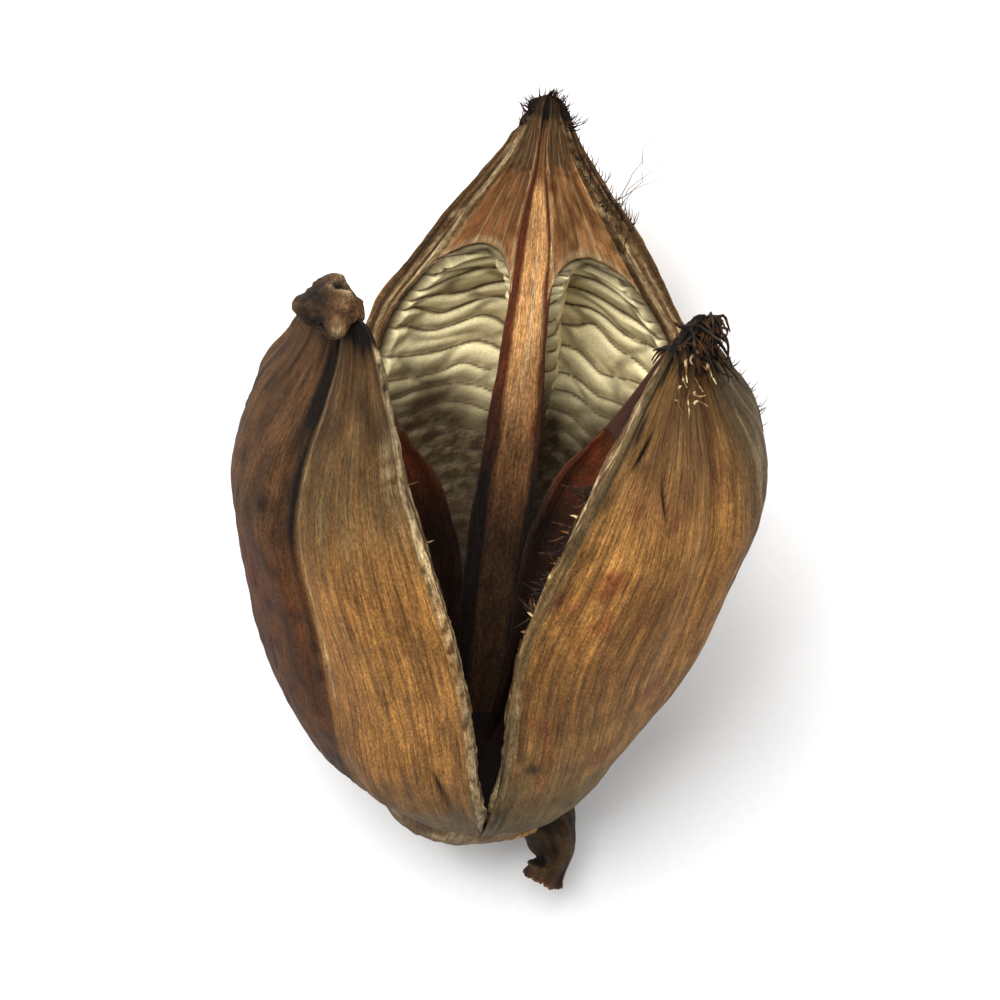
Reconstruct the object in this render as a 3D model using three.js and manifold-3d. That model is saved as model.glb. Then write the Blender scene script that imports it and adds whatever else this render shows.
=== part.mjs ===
// A dried woody seed capsule that has split into three valves and lies open on its back valve.
// Each valve is a third of the closed capsule, with a partition inside it that runs in to the
// capsule's middle, and two hollows where the seeds lay. Pale wrinkled linings line the hollows.
// Millimetres, +Z up, floor at z = 0, tips towards +Y.
import * as THREE from 'three';
import { mergeVertices } from 'three/addons/utils/BufferGeometryUtils.js';
import Module from 'manifold-3d';

const wasm = await Module();
wasm.setup();

// Driving dimensions
const VALVE_LENGTH = 88;
const SUTURE_HALF_ANGLE = THREE.MathUtils.degToRad(59.6);

// Each profile is a list of [distance from the base, size].
const OUTER_RADIUS = [
  [0, 11.6], [3, 14.4], [8, 17.4], [16, 20.5], [28, 22.8], [40, 23.4], [50, 23.1], [58, 22.0],
  [64, 19.4], [70, 15.4], [76, 10.3], [82, 5.8], [86, 3.6], [88, 2.6],
];
const RIM_THICKNESS = [[0, 3.6], [20, 3.0], [50, 3.0], [60, 3.4], [68, 3.8], [78, 2.6], [88, 1]];
const EDGE_HALF_WIDTH = [[0, 1.6], [14, 3.2], [32, 3.7], [46, 2.9], [60, 2.1], [74, 1.2], [88, 0.4]];
const FURROW_DEPTH = [[0, 0], [20, 0.3], [42, 0.8], [60, 1.7], [74, 1.8], [83, 0.9], [88, 0.3]];
const FURROW_HALF_ANGLE = THREE.MathUtils.degToRad(8.5);
const LOBE_BULGE = 0.035;
const UNEVENNESS = 0.014;
const WALL_THICKNESS = 2.0;
const PARTITION_THICKNESS = 1.7;
const EDGE_LIP = 0.9;
const BEAK_DIP = 0.9;

// The hollow: where it starts and ends, how far its ends slope, and how high its arches rise.
const HOLLOW_START = 8;
const HOLLOW_END = 69;
const START_SLOPE = 13;
const END_SLOPE = 12;
const ARCH_RISE = 5;
const ARCH_REACH = 15;

// The linings: gap behind them, thickness, and their crosswise ridges.
const LINING_GAP = 0.45;
const LINING_THICKNESS = 0.8;
const LINING_START = 16;
const LINING_FROM_PARTITION = 0.4;
const LINING_TO_RIM = 0.95;
const RIDGE_PITCH = 3.3;
const RIDGE_HEIGHT = 0.8;

// How far along its length a valve takes to bend outwards.
const HINGE_LENGTH = 17;

// The three valves: home is the direction a valve faces at the base and turn the direction it
// opens in, open is the outward bend at the hinge and curl the further bend towards the tip, twist
// turns the section on the way up, and blunt is how much fuller the shoulder is. Stretch scales the
// length, widen the width near the base and further up, and depth the outward size along the valve.
// Furrow is how far the median furrow lies off the middle, in degrees.
const EVEN_DEPTH = [[0, 1], [88, 0.96]];
const RIGHT_DEPTH = [[0, 1], [6, 0.97], [20, 0.9], [34, 0.93], [60, 0.97], [88, 0.96]];
const BACK_DEPTH = [[0, 0.84], [8, 0.8], [16, 0.8], [28, 0.86], [40, 0.935], [50, 0.96], [88, 0.95]];
const VALVES = [
  {
    name: 'back', home: 90, turn: 83, open: 15, curl: 0, twist: 8.5, blunt: 0, stretch: 1.03,
    widen: [[14, 1.13], [54, 1.1], [67, 0.98], [80, 1.05]], furrow: 0, depth: BACK_DEPTH, sides: ['right', 'left'],
  },
  {
    name: 'left', home: 210, turn: 212.5, open: 17.5, curl: 10, twist: -3, blunt: 4, stretch: 1.0,
    widen: [[14, 0.93], [70, 0.93]], furrow: 10.5, depth: EVEN_DEPTH, sides: ['rear', 'front'],
  },
  {
    name: 'right', home: -30, turn: -42, open: 10, curl: 20, twist: 6, blunt: 5, stretch: 0.98,
    widen: [[14, 0.8], [70, 0.94]], furrow: 0, depth: RIGHT_DEPTH, sides: ['front', 'rear'],
  },
];

// The base the valves grow from, as [height, radius, shift to the right], and the stalk on it,
// as [right, back, height, radius].
const CORE = [
  [-4.8, 6.2, -2.4], [-4.0, 8.8, -1.8], [-1.6, 11.2, -0.8], [3, 13.6, 0], [7.2, 15.8, 0],
  [8.6, 10, 0], [9.4, 3, 0],
];
const STALK = [
  [5.2, 0.6, 0.5, 4.8], [8.8, -0.4, -3.4, 4.6], [10.8, -1.8, -6.4, 3.5], [11.4, -3.0, -9.0, 2.8],
  [11.0, -4.0, -11.2, 2.5], [10.4, -4.6, -12.8, 2.8],
];

// The knob on the left valve's tip, and the stubs the seeds hung from.
const KNOB_RADIUS = [2.7, 3.3, 2.5];
const STUBS_PER_EDGE = 5;
const STUB_LENGTH = 2.6;
const STUB_RADIUS = 0.5;
const STUBS_FROM = 22;
const STUBS_TO = 60;

// How the capsule lies: its axis rises from the floor and turns on it, and the two low places of
// the back valve are worn flat by this much.
const AXIS_RISE = 28;
const AXIS_HEADING = -6.5;
const AXIS_ROLL = 8;
const FLAT_DEPTH = 0.45;

const GROUND_SIZE = 400;

// Points closer than this become one where pieces join.
const LEAST_EDGE = 0.005;

// Small helpers
const { lerp, smoothstep, degToRad } = THREE.MathUtils;

// A smooth curve through [x, y] points that doesn't overshoot them.
function along(points, x) {
  const last = points.length - 1;
  if (x <= points[0][0]) return points[0][1];
  if (x >= points[last][0]) return points[last][1];
  const slope = (i) => (points[i + 1][1] - points[i][1]) / (points[i + 1][0] - points[i][0]);
  const tangent = (i) => {
    if (i === 0) return slope(0);
    if (i === last) return slope(last - 1);
    const before = slope(i - 1);
    const after = slope(i);
    return before * after <= 0 ? 0 : (2 * before * after) / (before + after);
  };
  let i = 0;
  while (x > points[i + 1][0]) i += 1;
  const width = points[i + 1][0] - points[i][0];
  const u = (x - points[i][0]) / width;
  return points[i][1] + (points[i + 1][1] - points[i][1]) * u * u * (3 - 2 * u)
    + width * u * (1 - u) * (tangent(i) * (1 - u) - tangent(i + 1) * u);
}

// The same through straight lines, for points that are pairs.
function between(corners, x) {
  let i = 0;
  while (i < corners.length - 2 && x > corners[i + 1][0]) i += 1;
  const [x0, p] = corners[i];
  const [x1, q] = corners[i + 1];
  const u = (x - x0) / (x1 - x0);
  return [lerp(p[0], q[0], u), lerp(p[1], q[1], u)];
}

// A seeded run of numbers from 0 to 1.
function dice(seed) {
  let state = seed;
  return () => {
    state = (state * 16807) % 2147483647;
    return state / 2147483647;
  };
}

// The valve's outside, as [sideways, outwards] from the closed capsule's axis
function outerPoint(valve, s, angle) {
  const sideways = degToRad(valve.furrow) * (1 - (angle / SUTURE_HALF_ANGLE) ** 2);
  const lobes = 1 + (LOBE_BULGE * (1 - Math.cos(6 * (angle - sideways)))) / 2;
  const blunted = s - valve.blunt * smoothstep(s, 50, 68) * (1 - smoothstep(s, 74, 88));
  const uneven = 1 + UNEVENNESS * Math.sin(s * 0.13 + angle * 2.3 + valve.turn)
    * smoothstep(s, 8, 30);
  const furrow = along(FURROW_DEPTH, s)
    * Math.exp(-(((angle - sideways) / FURROW_HALF_ANGLE) ** 2));
  const radius = along(OUTER_RADIUS, blunted) * lobes * uneven - furrow;
  return [radius * Math.sin(angle), radius * Math.cos(angle)];
}

// How deep the hollow is at s, from 0 to 1, with rounded ends.
function hollowDepth(s) {
  if (s <= HOLLOW_START || s >= HOLLOW_END) return 0;
  const fromStart = Math.max((HOLLOW_START + START_SLOPE - s) / START_SLOPE, 0);
  const fromEnd = Math.max((s - HOLLOW_END + END_SLOPE) / END_SLOPE, 0);
  return Math.sqrt(1 - fromStart ** 2.2) * Math.sqrt(1 - fromEnd ** 2.2);
}

// The hollow's surface as [s, sideways, outwards]: f runs from the partition's free edge to the
// rim. Near the hollow's end the points slide towards the base beside the arch's crown.
const HOLLOW_STEPS = [0, 0.06, 0.14, 0.28, 0.4, 0.48, 0.58, 0.7, 0.82, 0.95, 1];

function hollowPoint(station, f) {
  const arch = 1 - Math.sqrt(Math.max(1 - (2 * f - 1) ** 2, 0));
  const near = Math.max(1 - Math.abs(station - HOLLOW_END) / ARCH_REACH, 0);
  const s = station - ARCH_RISE * arch * near * near * (3 - 2 * near);
  const sinH = Math.sin(SUTURE_HALF_ANGLE);
  const cosH = Math.cos(SUTURE_HALF_ANGLE);
  const radius = along(OUTER_RADIUS, s);
  const edge = along(EDGE_HALF_WIDTH, s) / sinH;
  const rim = Math.max(radius - along(RIM_THICKNESS, s), edge + 0.6);
  const onSuture = (rho, dip) => [rho * sinH - dip * cosH, rho * cosH + dip * sinH];
  const bare = smoothstep(s, HOLLOW_START, 40) * (1 - smoothstep(s, 72, 86));
  const shut = onSuture(lerp(edge, rim, f), BEAK_DIP * Math.sin(Math.PI * f) * bare);

  const wall = Math.max(radius - WALL_THICKNESS, edge * cosH + 2);
  const half = PARTITION_THICKNESS / 2;
  const under = edge * cosH + EDGE_LIP;
  const foot = Math.asin(Math.min((half + 1.2) / wall, 1));
  const onWall = (angle) => [wall * Math.sin(angle), wall * Math.cos(angle)];
  const corners = [
    [0, [edge * sinH, edge * cosH]],
    [0.06, [edge * sinH * 0.95, under]],
    [0.14, [half + 0.4, under + 0.5]],
    [0.4, [half, wall * 0.965]],
    ...HOLLOW_STEPS.slice(5, 10).map((step) => [
      step, onWall(lerp(foot, SUTURE_HALF_ANGLE * 0.96, (step - 0.48) / 0.47)),
    ]),
    [1, onSuture(rim, 0)],
  ];
  const open = between(corners, f);
  const depth = hollowDepth(station);
  return [s, lerp(shut[0], open[0], depth), lerp(shut[1], open[1], depth)];
}

// The whole section as [s, sideways, outwards], counter-clockwise seen from the tip.
const OUTER_STEPS = 6;

function section(valve, s) {
  const points = [[s, 0, 0]];
  HOLLOW_STEPS.forEach((f) => {
    const [t, a, r] = hollowPoint(s, f);
    points.push([t, -a, r]);
  });
  for (let i = -OUTER_STEPS; i <= OUTER_STEPS; i += 1) {
    points.push([s, ...outerPoint(valve, s, (SUTURE_HALF_ANGLE * i) / OUTER_STEPS)]);
  }
  [...HOLLOW_STEPS].reverse().forEach((f) => points.push(hollowPoint(s, f)));
  return points;
}

// Placing a point of a section in the capsule, which stands on +Z here
function valvePlacer(valve) {
  const turn = degToRad(valve.turn);
  const radial = new THREE.Vector3(Math.cos(turn), Math.sin(turn), 0);
  const axis = new THREE.Vector3(0, 0, 1);
  const side = new THREE.Vector3().crossVectors(axis, radial);
  const bend = (s) => degToRad(valve.open) * smoothstep(s, 0, HINGE_LENGTH)
    + degToRad(valve.curl) * (s / VALVE_LENGTH) ** 2;
  const step = 0.5;
  const line = [new THREE.Vector3()];
  for (let s = step / 2; s < VALVE_LENGTH + step; s += step) {
    const direction = axis.clone().multiplyScalar(Math.cos(bend(s)))
      .addScaledVector(radial, Math.sin(bend(s)));
    const stretch = lerp(1, valve.stretch, smoothstep(s, 0, HINGE_LENGTH));
    line.push(line.at(-1).clone().addScaledVector(direction, step * stretch));
  }
  return ([s, a, r]) => {
    const grown = smoothstep(s, 0, HINGE_LENGTH * 1.3);
    const i = Math.min(Math.floor(s / step), line.length - 2);
    const point = line[i].clone().lerp(line[i + 1], s / step - i);
    const out = radial.clone().multiplyScalar(Math.cos(bend(s)))
      .addScaledVector(axis, -Math.sin(bend(s)));
    const twist = degToRad(lerp(valve.turn - valve.home, valve.twist, smoothstep(s, 4, 48)));
    const wide = a * lerp(1, along(valve.widen, s), grown);
    const deep = r * along(valve.depth, s);
    point.addScaledVector(side, wide * Math.cos(twist) - deep * Math.sin(twist));
    point.addScaledVector(out, wide * Math.sin(twist) + deep * Math.cos(twist));
    return point;
  };
}

// Closed meshes: rings of equal point counts, joined, each end a fan round a middle point.
function loft(rings, startCentre, endCentre) {
  const count = rings[0].length;
  const positions = rings.flat().flatMap((p) => [p.x, p.y, p.z]);
  const first = positions.length / 3;
  positions.push(...startCentre.toArray(), ...endCentre.toArray());
  const index = [];
  for (let j = 0; j + 1 < rings.length; j += 1) {
    for (let i = 0; i < count; i += 1) {
      const a = j * count + i;
      const b = j * count + ((i + 1) % count);
      index.push(a, b, b + count, a, b + count, a + count);
    }
  }
  const top = (rings.length - 1) * count;
  for (let i = 0; i < count; i += 1) {
    const next = (i + 1) % count;
    index.push(first, next, i);
    index.push(first + 1, top + i, top + next);
  }
  const geometry = new THREE.BufferGeometry();
  geometry.setAttribute('position', new THREE.Float32BufferAttribute(positions, 3));
  geometry.setIndex(index);
  return geometry;
}

function middleOf(points) {
  const sum = points.reduce((total, point) => total.add(point), new THREE.Vector3());
  return sum.divideScalar(points.length);
}

function toSolid(geometry) {
  const bare = geometry.clone();
  bare.deleteAttribute('normal');
  bare.deleteAttribute('uv');
  const merged = mergeVertices(bare, 1e-5);
  return new wasm.Manifold(new wasm.Mesh({
    numProp: 3,
    vertProperties: new Float32Array(merged.attributes.position.array),
    triVerts: new Uint32Array(merged.index.array),
  }));
}

function toGeometry(solid) {
  const mesh = solid.getMesh();
  const geometry = new THREE.BufferGeometry();
  geometry.setAttribute('position', new THREE.BufferAttribute(mesh.vertProperties, 3));
  geometry.setIndex(new THREE.BufferAttribute(mesh.triVerts, 1));
  geometry.computeVertexNormals();
  return geometry;
}

// Points that nearly coincide are merged, and the faces that this leaves with no area go.
function withoutSlivers(geometry) {
  const bare = geometry.clone();
  bare.deleteAttribute('normal');
  const merged = mergeVertices(bare, LEAST_EDGE);
  const old = merged.index.array;
  const index = [];
  for (let i = 0; i < old.length; i += 3) {
    const [a, b, c] = [old[i], old[i + 1], old[i + 2]];
    if (a !== b && b !== c && c !== a) index.push(a, b, c);
  }
  merged.setIndex(index);
  merged.computeVertexNormals();
  return merged;
}

// Pieces
// Where the valve's sections stand, closest where its hollows begin and end.
function stations() {
  const list = [0, 3, 6, HOLLOW_START, 8.5, 10, 12.5, 16];
  for (let s = 20; s < HOLLOW_END - END_SLOPE; s += 4.4) list.push(s);
  [12, 9, 6.5, 4, 2, 0.7, 0.1].forEach((below) => list.push(HOLLOW_END - below));
  list.push(71, 74, 77, 80, 83, 86, VALVE_LENGTH);
  return list;
}

function valveSolid(valve) {
  const place = valvePlacer(valve);
  const rings = stations().map((s) => section(valve, s).map(place));
  const middle = (s) => place([s, 0, along(OUTER_RADIUS, s) / 2]);
  return toSolid(loft(rings, middle(0), middle(VALVE_LENGTH)));
}

// A round tube through [right, back, height, radius] points.
function tube(points, sides) {
  const centres = points.map(([x, y, z]) => new THREE.Vector3(x, y, z));
  const rings = points.map(([, , , radius], i) => {
    const ahead = centres[Math.min(i + 1, points.length - 1)];
    const behind = centres[Math.max(i - 1, 0)];
    const tangent = ahead.clone().sub(behind).normalize();
    const across = new THREE.Vector3(0, 1, 0).cross(tangent).normalize();
    const other = tangent.clone().cross(across);
    return Array.from({ length: sides }, (_, k) => {
      const angle = (2 * Math.PI * k) / sides;
      return centres[i].clone()
        .addScaledVector(across, radius * Math.cos(angle))
        .addScaledVector(other, radius * Math.sin(angle));
    });
  });
  return toSolid(loft(rings, centres[0], centres.at(-1)));
}

function coreSolid() {
  const sides = 22;
  const rings = CORE.map(([height, radius, shift]) => Array.from({ length: sides }, (_, k) => {
    const angle = (2 * Math.PI * k) / sides;
    return new THREE.Vector3(shift + radius * Math.cos(angle), radius * Math.sin(angle), height);
  }));
  return toSolid(loft(rings, middleOf(rings[0]), middleOf(rings.at(-1))));
}

function knobSolid() {
  const geometry = new THREE.IcosahedronGeometry(1, 1);
  const left = VALVES[1];
  const centre = valvePlacer(left)([VALVE_LENGTH - 0.6, 0, 2.4]);
  const position = geometry.attributes.position;
  for (let i = 0; i < position.count; i += 1) {
    const p = new THREE.Vector3().fromBufferAttribute(position, i);
    const lump = 1 + 0.13 * Math.sin(4 * p.x + 1) + 0.11 * Math.sin(5 * p.y - 3 * p.z);
    position.setXYZ(
      i,
      centre.x + KNOB_RADIUS[0] * lump * p.x,
      centre.y + KNOB_RADIUS[1] * lump * p.y,
      centre.z + KNOB_RADIUS[2] * lump * p.z,
    );
  }
  return toSolid(geometry);
}

// Short pegs along both margins of a partition's free edge, their roots sunk in it.
function stubSolids(valve, seed) {
  const place = valvePlacer(valve);
  const roll = dice(seed);
  const solids = [];
  [-1, 1].forEach((hand) => {
    for (let i = 0; i < STUBS_PER_EDGE; i += 1) {
      const s = lerp(STUBS_FROM, STUBS_TO, (i + 0.2 + 0.6 * roll()) / STUBS_PER_EDGE);
      const edge = along(EDGE_HALF_WIDTH, s);
      const length = STUB_LENGTH * (0.7 + 0.6 * roll());
      const slant = (roll() - 0.5) * 0.9;
      const root = place([s, hand * (edge - 1), edge * 0.59 + 0.35]);
      const tip = place([s + slant * length, hand * (edge + length * 0.8), edge * 0.59 + 0.9]);
      const direction = tip.clone().sub(root).normalize();
      const across = new THREE.Vector3(0, 0, 1).cross(direction).normalize();
      const other = direction.clone().cross(across);
      const ring = (centre, radius) => [0, 1, 2, 3].map((k) => centre.clone()
        .addScaledVector(across, radius * Math.cos((Math.PI * k) / 2))
        .addScaledVector(other, radius * Math.sin((Math.PI * k) / 2)));
      solids.push(toSolid(loft([ring(root, STUB_RADIUS), ring(tip, STUB_RADIUS * 0.5)], root, tip)));
    }
  });
  return solids;
}

// A curved sheet over a hollow's wall, with crosswise ridges on its open side.
function liningGeometry(valve, hand, phase) {
  const place = valvePlacer(valve);
  const at = (s, f) => {
    const [t, a, r] = hollowPoint(s, f);
    return place([t, hand * a, r]);
  };
  const steps = HOLLOW_STEPS.filter((f) => f >= LINING_FROM_PARTITION && f <= LINING_TO_RIM);
  const last = HOLLOW_END - 1.3;
  const count = Math.round((last - LINING_START) / (RIDGE_PITCH / 2));
  const rings = [];
  for (let i = 0; i <= count; i += 1) {
    const s = lerp(LINING_START, last, i / count);
    const lower = [];
    const upper = [];
    steps.forEach((f, j) => {
      const point = at(s, f);
      const lengthwise = at(s + 0.2, f).sub(at(s - 0.2, f));
      const crosswise = at(s, f + 0.03).sub(at(s, f - 0.03));
      const normal = lengthwise.cross(crosswise).normalize().multiplyScalar(hand);
      const wave = 0.5 + 0.5 * Math.cos(Math.PI * i + 0.7 * Math.sin(f * 9 + phase) + phase * 0.1);
      const inside = Math.min(j, steps.length - 1 - j, i, count - i) > 0 ? 1 : 0;
      const ridge = RIDGE_HEIGHT * wave * inside;
      lower.push(point.clone().addScaledVector(normal, LINING_GAP));
      upper.push(point.clone().addScaledVector(normal, LINING_GAP + LINING_THICKNESS + ridge));
    });
    const ring = [...upper, ...lower.reverse()];
    rings.push(hand > 0 ? ring.reverse() : ring);
  }
  return loft(rings, middleOf(rings[0]), middleOf(rings.at(-1)));
}

// The capsule as it lies
const pose = new THREE.Matrix4()
  .multiply(new THREE.Matrix4().makeRotationZ(degToRad(AXIS_HEADING)))
  .multiply(new THREE.Matrix4().makeRotationX(degToRad(AXIS_RISE - 90)))
  .multiply(new THREE.Matrix4().makeRotationZ(degToRad(AXIS_ROLL)));

const woodySolids = [
  ...VALVES.map(valveSolid),
  coreSolid(),
  tube(STALK, 10),
  knobSolid(),
  ...VALVES.flatMap((valve, i) => stubSolids(valve, 4101 + 97 * i)),
];
const woody = woodySolids.reduce((all, solid) => all.add(solid));
const lying = toSolid(toGeometry(woody).applyMatrix4(pose));
const bounds = lying.boundingBox();
const floor = bounds.min[2] + FLAT_DEPTH;
const ground = new THREE.BoxGeometry(GROUND_SIZE, GROUND_SIZE, GROUND_SIZE);
ground.translate(0, 0, floor - GROUND_SIZE / 2);
const shift = new THREE.Vector3(
  -(bounds.min[0] + bounds.max[0]) / 2,
  -(bounds.min[1] + bounds.max[1]) / 2,
  -floor,
);
const flattened = withoutSlivers(toGeometry(lying.subtract(toSolid(ground))));
const capsuleGeometry = flattened.translate(shift.x, shift.y, shift.z);

const part = new THREE.Group();

function addMesh(name, geometry, color, roughness) {
  const material = new THREE.MeshStandardMaterial({ color, roughness, metalness: 0 });
  const mesh = new THREE.Mesh(geometry, material);
  mesh.name = name;
  part.add(mesh);
}

addMesh('capsule', capsuleGeometry, 0x7a5430, 0.85);
VALVES.forEach((valve, i) => {
  [-1, 1].forEach((hand, j) => {
    const geometry = liningGeometry(valve, hand, 2 * i + j).applyMatrix4(pose);
    geometry.translate(shift.x, shift.y, shift.z);
    geometry.computeVertexNormals();
    addMesh(`lining_${valve.name}_${valve.sides[j]}`, geometry, 0xcfc3a2, 0.8);
  });
});

export default part;
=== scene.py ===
"""Looks of a dried, open sora pod: three woody valves, six wrinkled linings, a stalk and frayed fibres."""

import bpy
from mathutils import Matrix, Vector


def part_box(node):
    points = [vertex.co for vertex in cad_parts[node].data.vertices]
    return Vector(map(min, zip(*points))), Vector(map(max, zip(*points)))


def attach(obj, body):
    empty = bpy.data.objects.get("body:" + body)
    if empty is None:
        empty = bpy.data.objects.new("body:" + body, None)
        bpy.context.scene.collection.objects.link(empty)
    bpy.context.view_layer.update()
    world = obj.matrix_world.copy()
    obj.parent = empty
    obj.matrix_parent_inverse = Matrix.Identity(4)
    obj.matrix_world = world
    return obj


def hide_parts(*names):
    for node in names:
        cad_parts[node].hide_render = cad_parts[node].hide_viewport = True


bl_info = {
    "name": "Dried sora pod",
    "version": (1, 0, 0),
    "blender": (4, 5, 0),
    "location": "3D View > Sidebar > Pod",
    "description": "Builds a dried, open seed pod over its packed solids",
    "category": "Add Mesh",
}

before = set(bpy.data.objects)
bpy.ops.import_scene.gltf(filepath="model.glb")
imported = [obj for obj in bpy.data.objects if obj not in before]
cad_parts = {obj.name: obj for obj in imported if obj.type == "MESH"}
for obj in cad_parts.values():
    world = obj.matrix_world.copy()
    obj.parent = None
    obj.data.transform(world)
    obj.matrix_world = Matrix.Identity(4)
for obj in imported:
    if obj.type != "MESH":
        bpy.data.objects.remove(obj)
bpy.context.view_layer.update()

import math
from typing import NamedTuple

import bpy
import numpy as np
from bpy.props import FloatProperty, FloatVectorProperty, PointerProperty
from mathutils import Vector

MM = 0.001

# The closed capsule, in millimetres, with its solids' driving dimensions, but for the partitions' edges
# and the left tip, which are a little wider. Each profile is a list of (distance from the base, size).
VALVE_LENGTH = 88
SUTURE = math.radians(59.6)
OUTER_RADIUS = [
    (0, 11.6), (3, 14.4), (8, 17.4), (16, 20.5), (28, 22.8), (40, 23.4), (50, 23.1), (58, 22.0),
    (64, 19.4), (70, 15.4), (76, 10.3), (82, 5.8), (86, 3.6), (88, 2.6),
]
RIM_THICKNESS = [(0, 3.6), (20, 3.0), (50, 3.0), (60, 3.4), (68, 3.8), (78, 2.6), (88, 1)]
EDGE_HALF_WIDTH = [
    (0, 1.6), (14, 3.2), (32, 3.7), (46, 3.2), (60, 2.6), (70, 2.3), (77, 1.3), (82, 0.5), (88, 0.4),
]
FURROW_DEPTH = [(0, 0), (20, 0.3), (42, 0.8), (60, 1.7), (74, 1.8), (83, 0.9), (88, 0.3)]
FURROW_HALF_ANGLE = math.radians(8.5)
LOBE_BULGE = 0.035
UNEVENNESS = 0.014
WALL_THICKNESS = 2.0
PARTITION_THICKNESS = 1.7
EDGE_LIP = 0.9
BEAK_DIP = 0.9
HOLLOW_START = 8
HOLLOW_END = 69
START_SLOPE = 13
END_SLOPE = 12
ARCH_RISE = 5
ARCH_REACH = 15
HINGE_LENGTH = 17

# The base as (height, radius, shift to the right), and the stalk as (right, back, height, radius).
CORE = [
    (-4.8, 6.2, -2.4), (-4.0, 8.8, -1.8), (-1.6, 11.2, -0.8), (3, 13.6, 0), (7.2, 15.8, 0),
    (8.6, 10, 0), (9.4, 3, 0),
]
STALK = [
    (5.2, 0.6, 0.5, 4.8), (8.8, -0.4, -3.4, 4.6), (10.8, -1.8, -6.4, 3.5), (11.4, -3.0, -9.0, 2.8),
    (11.0, -4.0, -11.2, 2.5), (10.4, -4.6, -12.8, 2.8),
]
FLAKE_TURN = 5.33
FLAKE_HEIGHT = -1.3
KNOB_PLACE = (VALVE_LENGTH + 1.9, 0.3, 2.2)
KNOB_RADIUS = (2.7, 3.3, 2.5)
KNOB_SWELL = (1.35, 1.15, 1.2)
CUP_DIRECTION = (0.3, 0.1, 0.95)

# How the capsule lies on the floor.
AXIS_RISE = math.radians(28)
AXIS_HEADING = math.radians(-6.5)
AXIS_ROLL = math.radians(8)
FLAT_DEPTH = 0.45
WARP = 0.45
WARP_LENGTH = 26

# Distances along a valve where its sections stand, as (from, to, step).
VALVE_SPANS = [
    (0, 8, 0.6), (8, 10, 0.25), (10, 60, 0.43), (60, 66, 0.3), (66, 69.2, 0.12), (69.2, 84, 0.35),
    (84, 88, 0.25),
]
EDGE_STEPS = 10
RIM_STEPS = 16
OUTER_STEPS = 76
HOLLOW_SPANS = [
    (0, 0.06, 4), (0.06, 0.14, 7), (0.14, 0.4, 30), (0.4, 0.48, 6), (0.48, 0.95, 40), (0.95, 1, 6),
]


# Numbers
def along(points, x):
    """A smooth curve through (place, size) points that doesn't overshoot them."""
    place, size = np.array(points, float).T
    slope = np.diff(size) / np.diff(place)
    before, after = slope[:-1], slope[1:]
    same = before * after > 0
    inner = np.where(same, 2 * before * after / np.where(same, before + after, 1), 0)
    tangent = np.concatenate([slope[:1], inner, slope[-1:]])
    x = np.clip(x, place[0], place[-1])
    i = np.clip(np.searchsorted(place, x, side="right") - 1, 0, len(slope) - 1)
    width = place[i + 1] - place[i]
    u = (x - place[i]) / width
    bend = tangent[i] * (1 - u) - tangent[i + 1] * u
    return size[i] + (size[i + 1] - size[i]) * u * u * (3 - 2 * u) + width * u * (1 - u) * bend


def smoothstep(x, low, high):
    """Rises smoothly from 0 at low to 1 at high."""
    u = np.clip((x - low) / (high - low), 0, 1)
    return u * u * (3 - 2 * u)


def falloff(x, low, high):
    """Falls smoothly from 1 at low to 0 at high."""
    return 1 - smoothstep(x, low, high)


def bell(x, middle, width):
    """A smooth bump, 1 at its middle."""
    return np.exp(-(((x - middle) / width) ** 2))


def noise(x, y=0.0, z=0.0, seed=1):
    """Smooth seeded values from -1 to 1, about one unit from bump to bump."""
    spots = np.broadcast_arrays(np.asarray(x, float), np.asarray(y, float), np.asarray(z, float))
    table = np.random.default_rng(seed).uniform(-1, 1, 4096)
    cells = [np.floor(v).astype(np.int64) for v in spots]
    parts = [v - c for v, c in zip(spots, cells)]
    fades = [p * p * (3 - 2 * p) for p in parts]
    total = np.zeros(spots[0].shape)
    for corner in np.ndindex(2, 2, 2):
        keys = [(c + d) * prime for c, d, prime in zip(cells, corner, (73856093, 19349663, 83492791))]
        key = keys[0] ^ keys[1] ^ keys[2]
        weight = np.ones(total.shape)
        for fade, d in zip(fades, corner):
            weight = weight * (fade if d else 1 - fade)
        total += weight * table[((key ^ (key >> 15)) * 2654435 >> 7) & 4095]
    return total


def turns(count):
    """Evenly spaced angles, once all the way round."""
    return np.linspace(0, 2 * np.pi, count, endpoint=False)


def blended(grid):
    """Each column of a grid mixed with its neighbours, the last beside the first."""
    return (np.roll(grid, 1, 1) + 2 * grid + np.roll(grid, -1, 1)) / 4


def soften(grid):
    """Mixes each inner row of a grid with its neighbours, in place."""
    grid[1:-1] = (grid[:-2] + 2 * grid[1:-1] + grid[2:]) / 4


def spaced(spans, last):
    """Numbers that step through each (from, to, step) span, up to and with the last."""
    return np.concatenate([np.arange(low, high - 1e-9, step) for low, high, step in spans] + [[last]])


# The valve's own shape, as sideways and outwards distances in the closed capsule
def furrow_place(valve, angle):
    """How far the furrow's side of a valve is turned, fading out towards the rims."""
    return math.radians(valve.furrow) * (1 - (angle / SUTURE) ** 2)


def outer_point(valve, s, angle):
    """The outside of a valve."""
    turned = angle - furrow_place(valve, angle)
    lobes = 1 + LOBE_BULGE * (1 - np.cos(6 * turned)) / 2
    blunted = s - valve.blunt * smoothstep(s, 50, 68) * falloff(s, 74, 88)
    uneven = 1 + UNEVENNESS * np.sin(s * 0.13 + angle * 2.3 + valve.turn) * smoothstep(s, 8, 30)
    furrow = along(FURROW_DEPTH, s) * np.exp(-((turned / FURROW_HALF_ANGLE) ** 2))
    radius = along(OUTER_RADIUS, blunted) * lobes * uneven - furrow
    return radius * np.sin(angle), radius * np.cos(angle)


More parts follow.
